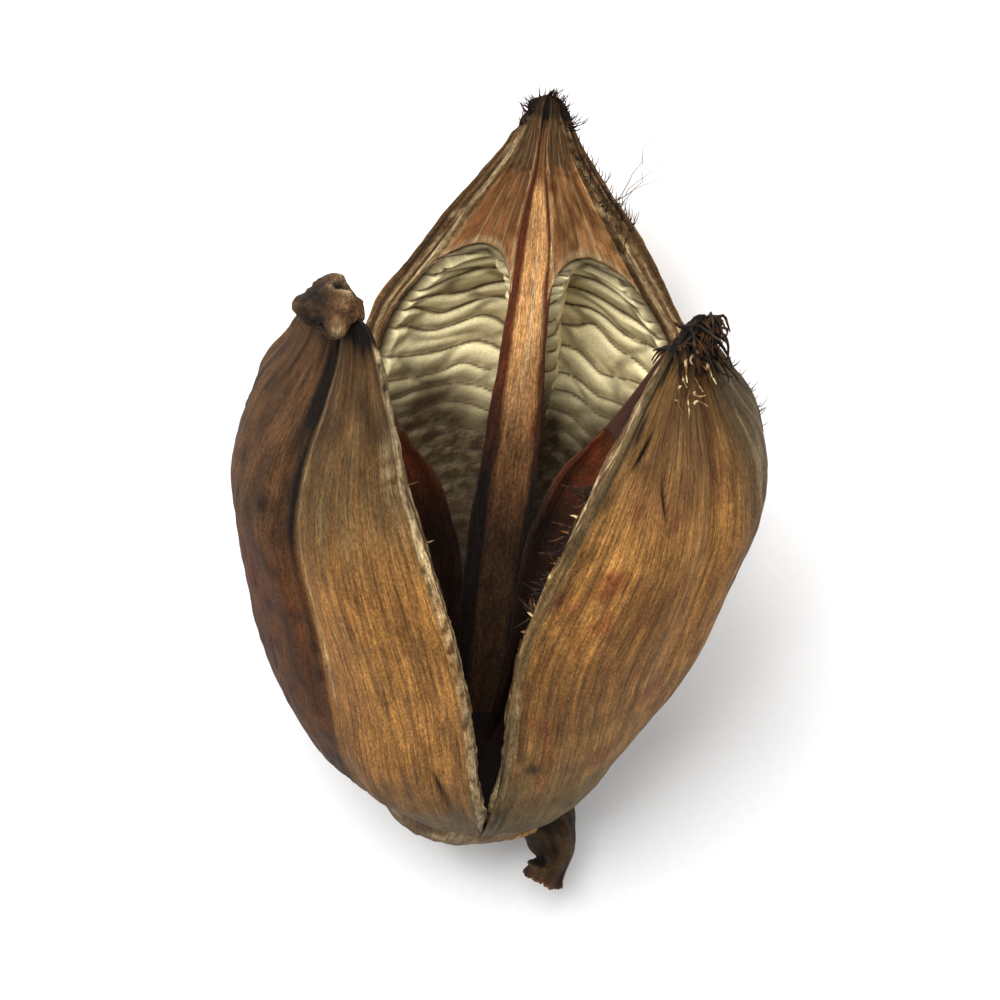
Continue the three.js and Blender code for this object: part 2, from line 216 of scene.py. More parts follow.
def hollow_depth(s):
    """How deep the hollow is, from 0 to 1, with rounded ends."""
    from_start = np.clip((HOLLOW_START + START_SLOPE - s) / START_SLOPE, 0, 1)
    from_end = np.clip((s - HOLLOW_END + END_SLOPE) / END_SLOPE, 0, 1)
    return np.sqrt(1 - from_start ** 2.2) * np.sqrt(1 - from_end ** 2.2)


def hollow_point(station, f):
    """The hollow's surface: f runs from the partition's free edge to the rim."""
    arch = 1 - np.sqrt(np.clip(1 - (2 * f - 1) ** 2, 0, 1))
    near = np.clip(1 - np.abs(station - HOLLOW_END) / ARCH_REACH, 0, 1)
    s = station - ARCH_RISE * arch * near * near * (3 - 2 * near)
    sin_h, cos_h = math.sin(SUTURE), math.cos(SUTURE)
    radius = along(OUTER_RADIUS, s)
    edge = along(EDGE_HALF_WIDTH, s) / sin_h
    rim = np.maximum(radius - along(RIM_THICKNESS, s), edge + 0.6)
    bare = smoothstep(s, HOLLOW_START, 40) * falloff(s, 72, 86)
    dip = BEAK_DIP * np.sin(np.pi * f) * bare
    rho = edge + (rim - edge) * f
    shut = rho * sin_h - dip * cos_h, rho * cos_h + dip * sin_h

    wall = np.maximum(radius - WALL_THICKNESS, edge * cos_h + 2)
    half = PARTITION_THICKNESS / 2
    under = edge * cos_h + EDGE_LIP
    foot = np.arcsin(np.minimum((half + 1.2) / wall, 1))
    corners = [
        (0, edge * sin_h, edge * cos_h),
        (0.06, edge * sin_h * 0.95, under),
        (0.14, half + 0.4 + 0 * s, under + 0.5),
        (0.4, half + 0 * s, wall * 0.965),
    ]
    for step in np.linspace(0.48, 0.95, 12):
        angle = foot + (SUTURE * 0.96 - foot) * (step - 0.48) / 0.47
        corners.append((step, wall * np.sin(angle), wall * np.cos(angle)))
    corners.append((1, rim * sin_h, rim * cos_h))
    steps = np.array([corner[0] for corner in corners])
    i = np.clip(np.searchsorted(steps, f, side="right") - 1, 0, len(steps) - 2)
    u = (f - steps[i]) / (steps[i + 1] - steps[i])
    opened = []
    for axis in (1, 2):
        stack = np.stack([np.broadcast_to(corner[axis], s.shape) for corner in corners])
        picked = np.broadcast_to(i, s.shape)
        rows, columns = np.indices(s.shape)
        opened.append(stack[picked, rows, columns] * (1 - u) + stack[picked + 1, rows, columns] * u)
    depth = hollow_depth(station)
    return s, shut[0] + (opened[0] - shut[0]) * depth, shut[1] + (opened[1] - shut[1]) * depth


class Valve:
    """One third of the capsule, and how it has opened."""

    def __init__(self, name, home, turn, opened, curl, twist, blunt, stretch, widen, furrow, depth, seed):
        self.name = name
        self.home = home
        self.turn = turn
        self.opened = opened
        self.curl = curl
        self.twist = twist
        self.blunt = blunt
        self.widen = widen
        self.furrow = furrow
        self.depth = depth
        self.seed = seed
        turned = math.radians(turn)
        self.radial = np.array([math.cos(turned), math.sin(turned), 0])
        self.side = np.array([-math.sin(turned), math.cos(turned), 0])
        self.step = 0.5
        middles = np.arange(self.step / 2, VALVE_LENGTH + 4, self.step)
        bend = self.bend(middles)[:, None]
        way = np.array([0, 0, 1]) * np.cos(bend) + self.radial * np.sin(bend)
        longer = 1 + (stretch - 1) * smoothstep(middles, 0, HINGE_LENGTH)[:, None]
        self.line = np.vstack([np.zeros(3), np.cumsum(way * self.step * longer, axis=0)])

    def bend(self, s):
        """How far the valve leans outwards at s, in radians."""
        hinge = math.radians(self.opened) * smoothstep(s, 0, HINGE_LENGTH)
        return hinge + math.radians(self.curl) * (s / VALVE_LENGTH) ** 2

    def place(self, s, a, r):
        """Points of the valve in the standing capsule."""
        grown = smoothstep(s, 0, HINGE_LENGTH * 1.3)
        bend = self.bend(s)[..., None]
        out = self.radial * np.cos(bend) - np.array([0, 0, 1]) * np.sin(bend)
        turned = self.turn - self.home
        twist = np.radians(turned + (self.twist - turned) * smoothstep(s, 4, 48))
        wide = a * (1 + (along(self.widen, s) - 1) * grown)
        deep = r * along(self.depth, s)
        steps = np.arange(len(self.line)) * self.step
        middle = np.stack([np.interp(s, steps, self.line[:, i]) for i in range(3)], axis=-1)
        across = (wide * np.cos(twist) - deep * np.sin(twist))[..., None]
        outwards = (wide * np.sin(twist) + deep * np.cos(twist))[..., None]
        return middle + self.side * across + out * outwards


EVEN_DEPTH = [(0, 1), (88, 0.96)]
RIGHT_DEPTH = [(0, 1), (6, 0.97), (20, 0.9), (34, 0.93), (60, 0.97), (88, 0.96)]
BACK_DEPTH = [(0, 0.84), (8, 0.8), (16, 0.8), (28, 0.86), (40, 0.935), (50, 0.96), (88, 0.95)]
BACK_WIDTH = [(14, 1.13), (54, 1.1), (67, 0.98), (80, 1.05)]
LEFT_WIDTH = [(14, 0.93), (70, 0.93), (80, 1.2), (84, 1.6), (88, 2.3)]
RIGHT_WIDTH = [(14, 0.8), (70, 0.94)]
BACK = Valve("back", 90, 83, 15, 0, 8.5, 0, 1.03, BACK_WIDTH, 0, BACK_DEPTH, 11)
LEFT = Valve("left", 210, 212.5, 17.5, 10, -3, 4, 1.0, LEFT_WIDTH, 10.5, EVEN_DEPTH, 23)
RIGHT = Valve("right", -30, -42, 10, 20, 6, 5, 0.98, RIGHT_WIDTH, 0, RIGHT_DEPTH, 37)
VALVES = [BACK, LEFT, RIGHT]
SIDES = {"back": ("right", "left"), "left": ("rear", "front"), "right": ("front", "rear")}


# The capsule as it lies
def laid(points):
    """Points of the standing capsule, turned as it lies but not yet moved onto the floor."""
    x, y, z = np.moveaxis(points, -1, 0)
    x, y = turned_by(x, y, AXIS_ROLL)
    y, z = turned_by(y, z, AXIS_RISE - math.pi / 2)
    x, y = turned_by(x, y, AXIS_HEADING)
    return np.stack([x, y, z], -1)


def turned_by(first, second, angle):
    """Two coordinates turned about the third axis."""
    turned = first * math.cos(angle) - second * math.sin(angle)
    return turned, first * math.sin(angle) + second * math.cos(angle)


def stalk_line(t):
    """The stalk's middle line and radius, t from 0 at its root to 1 at its end."""
    places = np.linspace(0, 1, len(STALK))
    return [along([(p, point[i]) for p, point in zip(places, STALK)], t) for i in range(4)]


def stalk_rings(t, turn, relief, torn):
    """Rings of points round the stalk, with relief outwards and a torn end lengthwise."""
    x, y, z, radius = stalk_line(t)
    line = np.stack([x, y, z], -1)
    tangent = np.gradient(line, axis=0)
    tangent /= np.linalg.norm(tangent, axis=-1, keepdims=True)
    across = np.cross(np.array([0.0, 1.0, 0.0]), tangent)
    across /= np.linalg.norm(across, axis=-1, keepdims=True)
    other = np.cross(tangent, across)
    wide = (radius[:, None] + relief)[..., None]
    spin = turn[None, :, None]
    points = line[:, None] + wide * (across[:, None] * np.cos(spin) + other[:, None] * np.sin(spin))
    return points + tangent[:, None] * torn[..., None]


def find_shift():
    """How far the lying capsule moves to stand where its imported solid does."""
    s = np.linspace(0, VALVE_LENGTH, 177)[:, None]
    angle = np.linspace(-SUTURE, SUTURE, 61)[None, :]
    clouds = [valve.place(s + 0 * angle, *outer_point(valve, s, angle)).reshape(-1, 3) for valve in VALVES]
    plain = np.zeros((60, 60))
    clouds.append(stalk_rings(np.linspace(0, 1, 60), np.linspace(0, 2 * np.pi, 60), plain, plain)[-1])
    cloud = laid(np.vstack(clouds))
    low, high = [np.array(corner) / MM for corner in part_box("capsule")]
    middle = (low + high) / 2 - (cloud.min(0) + cloud.max(0)) / 2
    return np.array([middle[0], middle[1], low[2] - FLAT_DEPTH - cloud.min(0)[2]])


SHIFT = find_shift()


def lay(points):
    """Points of the standing capsule where they lie, in millimetres, with the drying's slow warp."""
    points = laid(points) + SHIFT
    spot = np.moveaxis(points, -1, 0) / WARP_LENGTH
    warp = np.stack([noise(*spot, seed=seed) for seed in (301, 302, 303)], -1)
    points = points + warp * WARP
    points[..., 2] = np.maximum(points[..., 2], 0)
    return points


# Meshes
def normals_of(grid):
    """Outward directions at the points of a grid of rings."""
    around = np.roll(grid, -1, 1) - np.roll(grid, 1, 1)
    lengthwise = np.gradient(grid, axis=0)
    normal = np.cross(around, lengthwise)
    return normal / np.maximum(np.linalg.norm(normal, axis=-1, keepdims=True), 1e-9)


def ring_faces(rows, count):
    """Quads between rings, and a fan round a middle point at each end."""
    j, i = np.meshgrid(np.arange(rows - 1), np.arange(count), indexing="ij")
    following = (i + 1) % count
    here = j * count + i
    beside = j * count + following
    quads = np.stack([here, beside, beside + count, here + count], -1)
    i = np.arange(count)
    following = (i + 1) % count
    first = rows * count
    top = (rows - 1) * count
    start = np.stack([np.full(count, first), following, i], -1)
    end = np.stack([np.full(count, first + 1), top + i, top + following], -1)
    return quads.reshape(-1, 4).tolist() + start.tolist() + end.tolist()


def make_piece(name, grid, finish, marks, nodes=("capsule",)):
    """A closed piece from a grid of rings in millimetres, with its painted marks."""
    rows, count = grid.shape[:2]
    points = np.vstack([grid.reshape(-1, 3), grid[0].mean(0), grid[-1].mean(0)])
    mesh = bpy.data.meshes.new(name)
    mesh.from_pydata((points * MM).tolist(), [], ring_faces(rows, count))
    mesh.update()
    for mark, values in marks.items():
        vector = values.ndim == 3
        flat = values.reshape(rows * count, -1)
        flat = np.vstack([flat, values[0].reshape(count, -1).mean(0), values[-1].reshape(count, -1).mean(0)])
        layer = mesh.attributes.new(mark, "FLOAT_VECTOR" if vector else "FLOAT", "POINT")
        layer.data.foreach_set("vector" if vector else "value", flat.astype(np.float32).ravel())
    mesh.shade_smooth()
    return add_piece(name, mesh, finish, nodes)


def add_object(name, data):
    """A new object in the scene."""
    made = bpy.data.objects.new(name, data)
    bpy.context.scene.collection.objects.link(made)
    return made


def add_piece(name, mesh, finish, nodes):
    """Puts a finished mesh in the scene, on the capsule's body."""
    mesh.materials.clear()
    mesh.materials.append(finish)
    piece = add_object(name, mesh)
    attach(piece, "root")
    if nodes:
        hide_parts(*nodes)
    return piece


# Node trees
class Socket:
    """A node's output, which plain sums and products can be written with."""

    def __init__(self, maker, output):
        self.maker = maker
        self.output = output

    def joined(self, operation, first, second):
        """A Math node of this operation."""
        return self.maker.node("ShaderNodeMath", {"operation": operation}, {0: first, 1: second})

    def __add__(self, other):
        return self.joined("ADD", self, other)

    def __radd__(self, other):
        return self.joined("ADD", other, self)

    def __sub__(self, other):
        return self.joined("SUBTRACT", self, other)

    def __rsub__(self, other):
        return self.joined("SUBTRACT", other, self)

    def __mul__(self, other):
        return self.joined("MULTIPLY", self, other)

    def __rmul__(self, other):
        return self.joined("MULTIPLY", other, self)


class NodeMaker:
    """A node tree while it is being made."""

    def __init__(self, tree):
        self.tree = tree

    def node(self, kind, settings, inputs, output=0):
        """Any node, with its settings made first and its sockets given values or links."""
        made = self.tree.nodes.new(kind)
        for key, value in settings.items():
            setattr(made, key, value)
        for key, value in inputs.items():
            if isinstance(value, Socket):
                self.tree.links.new(value.output, made.inputs[key])
            else:
                made.inputs[key].default_value = value
        return Socket(self, made.outputs[output])


# Materials
MARKS = ("gold", "red", "grey", "orange", "pale", "dark")


class Finish(NodeMaker):
    """A material while its nodes are being made."""

    def __init__(self, name):
        self.material = bpy.data.materials.new(name)
        self.material.use_nodes = True
        super().__init__(self.material.node_tree)
        self.tree.nodes.clear()

    def mark(self, name):
        """A painted value of the piece."""
        return self.node("ShaderNodeAttribute", {"attribute_name": name}, {}, "Fac")

    def grain(self, scale, detail, roughness):
        """Noise that follows the fibres, scaled along each of the painted directions."""
        place = self.node("ShaderNodeAttribute", {"attribute_name": "grain"}, {}, "Vector")
        place = self.node("ShaderNodeVectorMath", {"operation": "MULTIPLY"}, {0: place, 1: scale})
        inputs = {"Vector": place, "Scale": 1.0, "Detail": detail, "Roughness": roughness}
        return self.node("ShaderNodeTexNoise", {}, inputs, "Fac")

    def band(self, value, low, high, start=0.0, end=1.0):
        """A value stretched from one range to another and held there."""
        inputs = {"Value": value, "From Min": low, "From Max": high, "To Min": start, "To Max": end}
        return self.node("ShaderNodeMapRange", {"interpolation_type": "SMOOTHSTEP"}, inputs)

    def mix(self, amount, first, second, blend="MIX"):
        """Two colours mixed."""
        settings = {"data_type": "RGBA", "blend_type": blend}
        return self.node("ShaderNodeMix", settings, {0: amount, 6: first, 7: second}, 2)

    def cloud(self, scale, detail):
        """Noise over the piece's own space."""
        place = self.node("ShaderNodeTexCoord", {}, {}, "Object")
        return self.node("ShaderNodeTexNoise", {}, {"Vector": place, "Scale": scale, "Detail": detail}, "Fac")

    def shaded(self, colour, shade):
        """A colour made darker or lighter by a number."""
        tone = self.node("ShaderNodeCombineColor", {}, {0: shade, 1: shade, 2: shade})
        return self.mix(1.0, colour, tone, "MULTIPLY")

    def bump(self, height, distance, strength=1.0):
        """A normal with this relief, its distance in millimetres."""
        inputs = {"Strength": strength, "Distance": distance * MM, "Height": height}
        return self.node("ShaderNodeBump", {}, inputs)

    def close(self, colour, roughness, normal, specular=0.3):
        """Joins the surface to the output and gives the finished material."""
        inputs = {
            "Base Color": colour, "Roughness": roughness, "Normal": normal, "Specular IOR Level": specular,
        }
        surface = self.node("ShaderNodeBsdfPrincipled", {}, inputs)
        made = self.tree.nodes.new("ShaderNodeOutputMaterial")
        self.tree.links.new(surface.output, made.inputs["Surface"])
        return self.material


def rgba(colour):
    """A colour with full opacity."""
    return (colour[0], colour[1], colour[2], 1.0)


def husk_finish(colours):
    """Dry woody husk: brown, with golden, red, grey and dark places painted by the piece's marks."""
    finish = Finish("pod_husk")
    streak = finish.grain((2.4, 2.4, 0.07), 4.0, 0.7)
    fine = finish.grain((7.5, 7.5, 0.4), 3.0, 0.65)
    fleck = finish.grain((3.4, 3.4, 1.9), 4.0, 0.7)
    patch = finish.grain((0.3, 0.3, 0.16), 5.0, 0.7)
    colour = finish.mix(finish.band(patch, 0.38, 0.62), rgba(colours.brown), rgba(colours.umber))
    layers = (
        ("gold", colours.gold, streak, 0.3, 0.58, 0.3), ("red", colours.red, patch, 0.35, 0.6, 0.45),
        ("grey", colours.grey, fleck, 0.35, 0.6, 0.5), ("orange", colours.orange, fine, 0.3, 0.55, 0.6),
        ("pale", colours.pale, fine, 0.35, 0.58, 0.35),
    )
    for name, tint, texture, low, high, least in layers:
        amount = finish.mark(name) * finish.band(texture, low, high, least, 1.0)
        colour = finish.mix(amount, colour, rgba(tint))
    # The dark mark paints the husk's own dark colour and also painted shade in its hollows, creases and lower
    # partitions.
    colour = finish.mix(finish.mark("dark"), colour, rgba(colours.dark))
    shade = finish.band(streak, 0.28, 0.72, 0.74, 1.22) * finish.band(fine, 0.3, 0.7, 0.74, 1.26)
    shade = shade * finish.band(fleck, 0.3, 0.7, 0.56, 1.36) * finish.band(patch, 0.32, 0.68, 0.66, 1.3)
    colour = finish.shaded(colour, shade)
    height = streak * 0.8 + fine * 0.5 + fleck * 0.35
    normal = finish.bump(height, 0.4, 0.85)
    return finish.close(colour, finish.band(streak, 0.2, 0.8, 0.6, 0.85), normal, 0.16)


def lining_finish(colours):
    """Pale dry skin of the hollows: cream cushions with painted light on their lit sides, olive-grey below,
    painted shade deep down and in the dark creases.
    """
    finish = Finish("pod_lining")
    cloud = finish.grain((0.55, 0.7, 1.0), 4.0, 0.65)
    fine = finish.grain((2.6, 4.0, 1.0), 4.0, 0.65)
    colour = finish.mix(finish.band(cloud, 0.36, 0.64), rgba(colours.olive), rgba(colours.linen))
    # Painted light on each cushion's lit side.
    painted_light = finish.mark("painted_light") * finish.band(fine, 0.3, 0.6, 0.8, 1.0)
    colour = finish.mix(painted_light, colour, rgba(colours.cream))
    # The lower part is darker, partly from painted shade and partly from stain.
    low = finish.mark("low") * finish.band(cloud, 0.3, 0.6, 0.8, 1.0)
    colour = finish.mix(low, colour, rgba(colours.shade))
    colour = finish.mix(finish.mark("stain") * 0.7, colour, rgba(colours.stain))
    # Painted shade in the creases and deep in the hollow.
    colour = finish.mix(finish.mark("crease_shade"), colour, rgba(colours.crease_shade))
    shade = finish.band(fine, 0.3, 0.7, 0.88, 1.08)
    colour = finish.shaded(colour, shade)
    normal = finish.bump(fine * 0.5 + cloud, 0.12, 0.7)
    return finish.close(colour, finish.band(fine, 0.2, 0.8, 0.5, 0.75), normal, 0.2)


def floor_finish(colours):
    """A plain pale floor with a trace of tooth."""
    finish = Finish("studio_floor")
    cloud = finish.cloud(900.0, 2.0)
    dull = tuple(c * 0.985 for c in colours.floor)
    colour = finish.mix(finish.band(cloud, 0.3, 0.7), rgba(dull), rgba(colours.floor))
    return finish.close(colour, 0.75, finish.bump(cloud, 0.01), 0.2)


# Sizes and colours that a user would change
def length_choice(name, description, millimetres, least=0.0):
    """A length property."""
    return FloatProperty(
        name=name, description=description, default=millimetres * MM, min=least * MM,
        subtype="DISTANCE", unit="LENGTH",
    )


class PodSizes(bpy.types.PropertyGroup):
    """Relief of the pod's surfaces."""

    fold_pitch: length_choice("Fold pitch", "Distance between the linings' folds at the tip end", 5.4, 0.5)
    fold_height: length_choice("Fold height", "How far the linings' cushions rise", 1.25)
    fibre_relief: length_choice("Fibre relief", "Height of the ridges that run along the husk", 0.11)
    rim_relief: length_choice("Rim relief", "Height of the torn fibres on the valves' rims", 0.3)


def colour_choice(name, description, value):
    """A colour property."""
    return FloatVectorProperty(
        name=name, description=description, default=value, min=0.0, max=1.0, size=3, subtype="COLOR",
    )


class PodColours(bpy.types.PropertyGroup):
    """Colours of the husk, the linings and the floor."""

    brown: colour_choice("Brown", "The husk's middle brown", (0.16, 0.066, 0.018))
    umber: colour_choice("Umber", "The husk's darker brown", (0.08, 0.032, 0.01))
    gold: colour_choice("Gold", "Golden tan on the front faces", (0.5, 0.235, 0.058))
    red: colour_choice("Red", "Red-brown patches and margins", (0.17, 0.036, 0.01))
    orange: colour_choice("Orange", "Orange tan of the partition's edge and the beak", (0.68, 0.35, 0.13))
    grey: colour_choice("Grey", "Weathered green-grey of the base and rims", (0.145, 0.104, 0.045))
    pale: colour_choice("Pale", "Pale torn fibres", (0.7, 0.53, 0.28))
    # Dark is also the colour of the painted shade in the hollows and creases of the husk.
    dark: colour_choice("Dark", "Nearly black tips and creases", (0.012, 0.008, 0.006))
    # Cream is painted light on the lit sides of the cushions; shade darkens the linings' lower part, partly
    # as painted shade and partly as stain; the colour for the creases is painted shade.
    cream: colour_choice("Cream", "Lit cushions of the linings", (0.95, 0.83, 0.48))
    linen: colour_choice("Linen", "The linings' middle tone", (0.72, 0.58, 0.31))
    olive: colour_choice("Olive", "Olive shade of the cushions", (0.44, 0.34, 0.16))
    shade: colour_choice("Shade", "The linings' lower, greyer part", (0.05, 0.03, 0.013))
    stain: colour_choice("Stain", "Brown stains on the linings", (0.07, 0.034, 0.015))
    crease_shade: colour_choice("Crease", "Dark lines between cushions", (0.03, 0.018, 0.009))
    floor: colour_choice("Floor", "The plain floor", (0.93, 0.93, 0.93))


def material_named(name, maker, context):
    """The material of this name, made once."""
    return bpy.data.materials.get(name) or maker(context.scene.pod_colours)


# Valves
EDGE, HOLLOW, RIM, OUTSIDE = range(4)
LANE_RADIUS = 22
TIP_RINGS = 7
TIP_REACH = 1.5
GRAIN_STATION = 45
PARTITION_REACH = 3.8


def valve_grid(valve):
    """A valve's sections as arrays, with the zone of each column."""
    s = spaced(VALVE_SPANS, VALVE_LENGTH)[:, None]
    f = np.concatenate([np.linspace(low, high, n, endpoint=False) for low, high, n in HOLLOW_SPANS] + [[1]])
    s_in, a_in, r_in = hollow_point(s + 0 * f[None, :], f[None, :])
    further = partition_reach(valve, s) * falloff(f[None, :], 0.06, 0.36)
    hollow = (s_in, a_in, r_in - further)
    part = np.linspace(0, 1, EDGE_STEPS + 1)[1:-1][None, :]
    edge = [hollow[0][:, :1] + 0 * part, hollow[1][:, :1] * part, hollow[2][:, :1] * part ** 0]
    angle = np.linspace(SUTURE, 0, OUTER_STEPS + 1)[None, :-1]
    step = np.linspace(0, 1, RIM_STEPS + 1)[1:-1][None, :]
    halves = []
    for hand in (-1, 1):
        outer = (s + 0 * angle, *outer_point(valve, s, hand * angle))
        inner = (hollow[0], hand * hollow[1], hollow[2])
        face = (edge[0], hand * edge[1], edge[2])
        rim = [start[:, -1:] * (1 - step) + end[:, :1] * step for start, end in zip(inner, outer)]
        halves.append([np.hstack(parts) for parts in zip(face, inner, rim, outer)])
    counts = (part.size, f.size, step.size, angle.size)
    zone = np.repeat([EDGE, HOLLOW, RIM, OUTSIDE], counts)
    reach = np.concatenate([part[0], f, step[0], angle[0] * 0])
    turned = np.concatenate([np.full(sum(counts[:3]), SUTURE), angle[0]])
    crown = outer_point(valve, s, 0 * s)
    grids = []
    for index, centre, top in ((0, s, s), (1, 0 * s, crown[0]), (2, hollow[2][:, :1], crown[1])):
        grids.append(np.hstack([centre, halves[0][index], top, halves[1][index][:, ::-1]]))
    for _ in range(2):
        grids = [blended(grid) for grid in grids]
    grids = rounded_tip(grids)
    columns = {
        "zone": np.concatenate([[EDGE], zone, [OUTSIDE], zone[::-1]]),
        "reach": np.concatenate([[0], reach, [0], reach[::-1]]),
        "angle": np.concatenate([[0], -turned, [0], turned[::-1]]),
        "hand": np.concatenate([[0], -np.ones(zone.size), [0], np.ones(zone.size)]),
    }
    station = np.vstack([s, np.full((TIP_RINGS, 1), VALVE_LENGTH)])
    return grids, columns, station


def partition_reach(valve, s):
    """How much further in the front valves' partitions reach than the solids' do."""
    return (valve is not BACK) * PARTITION_REACH * smoothstep(s, 20, 46) * falloff(s, 50, 82)


def rounded_tip(grids):
    """Sections with a few more, ever smaller, that close the tip in a dome."""
    turn = np.linspace(0, np.pi / 2, TIP_RINGS + 1)[1:, None] * 0.97
    forward = grids[0][-1] + TIP_REACH * np.sin(turn)
    drawn = [g[-1].mean() + (g[-1] - g[-1].mean()) * np.cos(turn) for g in grids[1:]]
    return [np.vstack([g, extra]) for g, extra in zip(grids, [forward, *drawn])]


def ring_grain(s, a, r, seed):
    """Where each point lies along and round the fibres, without a seam."""
    row = np.searchsorted(s[:, 0], GRAIN_STATION)
    step = np.hypot(a[row] - np.roll(a[row], 1), r[row] - np.roll(r[row], 1))
    turn = np.cumsum(step) / step.sum() * 2 * np.pi
    radius = step.sum() / (2 * np.pi)
    around = [radius * np.cos(turn) + 0 * s, radius * np.sin(turn) + 70 * seed + 0 * s]
    return np.stack([*around, s], -1)


def right_slits(s, lane):
    """Two short cracks on the right valve."""
    upper = bell(lane, -18.9 + 0.4 * (s - 75), 0.35) * bell(s, 76.5, 1.8)
    lower = bell(lane, -13 - 0.55 * (s - 74.2), 0.35) * bell(s, 72.2, 2.2)
    return np.clip(upper + lower, 0, 1)


def left_crack(s, lane):
    """A short crack near the left valve's rim."""
    return bell(lane, 17.4 + 0.14 * (25 - s), 0.35) * bell(s, 21, 4)


# Each size of the painted clouds is (across, along) the fibres, in millimetres.
WIDE_CLOUD = (8, 18)
SMALL_CLOUD = (2.4, 6)
LINE = (0.8, 14)
BLOT = (1.6, 2.6)
RIM_STRAND = (0.45, 9)
RIM_FLECK = (0.5, 1.2)
RIDGE = (0.7, 18)
WIDE_RIDGE = (1.9, 26)
SWELL = (8, 12)
TOOTH = (1, 2)
SHADE_TO_FACE = (-0.05, 0.03)
BEAK_START = HOLLOW_END - 0.4
CAP_START = 80.4
BEAK_STRIPES = ((0.035, 0.016, 0.8), (0.3, 0.012, 0.45), (0.52, 0.014, 0.5), (0.72, 0.015, 0.55))


class Surface:
    """The points of a valve's sections: where each lies and what it is part of."""

    def __init__(self, valve, s, columns, station):
        keys = ("zone", "reach", "angle", "hand")
        zone, reach, angle, hand = [columns[key][None, :] + 0 * s for key in keys]
        self.valve = valve
        self.s = s
        self.station = station
        self.reach = reach
        self.angle = angle
        self.hand = hand
        self.lane = angle * LANE_RADIUS
        self.from_furrow = angle - furrow_place(valve, angle)
        masks = [(zone == kind) * 1.0 for kind in (OUTSIDE, EDGE, HOLLOW, RIM)]
        self.outside, self.edge, self.hollow, self.rim = masks
        self.beak = self.hollow * smoothstep(station, BEAK_START, HOLLOW_END)
        self.inside = self.hollow - self.beak

    def cloud(self, size, seed):
        """Noise of this size over the outside."""
        across, lengthwise = size
        return noise(self.lane / across, self.s / lengthwise, seed=seed)

    def strands(self, lengthwise, seed):
        """Torn strands that run along the rims."""
        wander = 0.5 * noise(self.s / 9, seed=seed)
        return noise(self.reach * 7 + wander, self.s / lengthwise, self.hand * 3, seed=seed + 1)

    def edge_fibre(self, lengthwise, seed):
        """Fibres along the partition's free edge."""
        return noise(self.reach * 4 + self.hand * 2, self.s / lengthwise, seed=seed)

    def near_suture(self, start, end):
        """The outside's strip along the split, from one share of the suture's angle to another."""
        return self.outside * smoothstep(np.abs(self.angle), SUTURE * start, SUTURE * end)

    def torn(self, start, end):
        """The rim and the hollow's last part before it."""
        return np.clip(self.rim + self.hollow * smoothstep(self.reach, start, end), 0, 1)


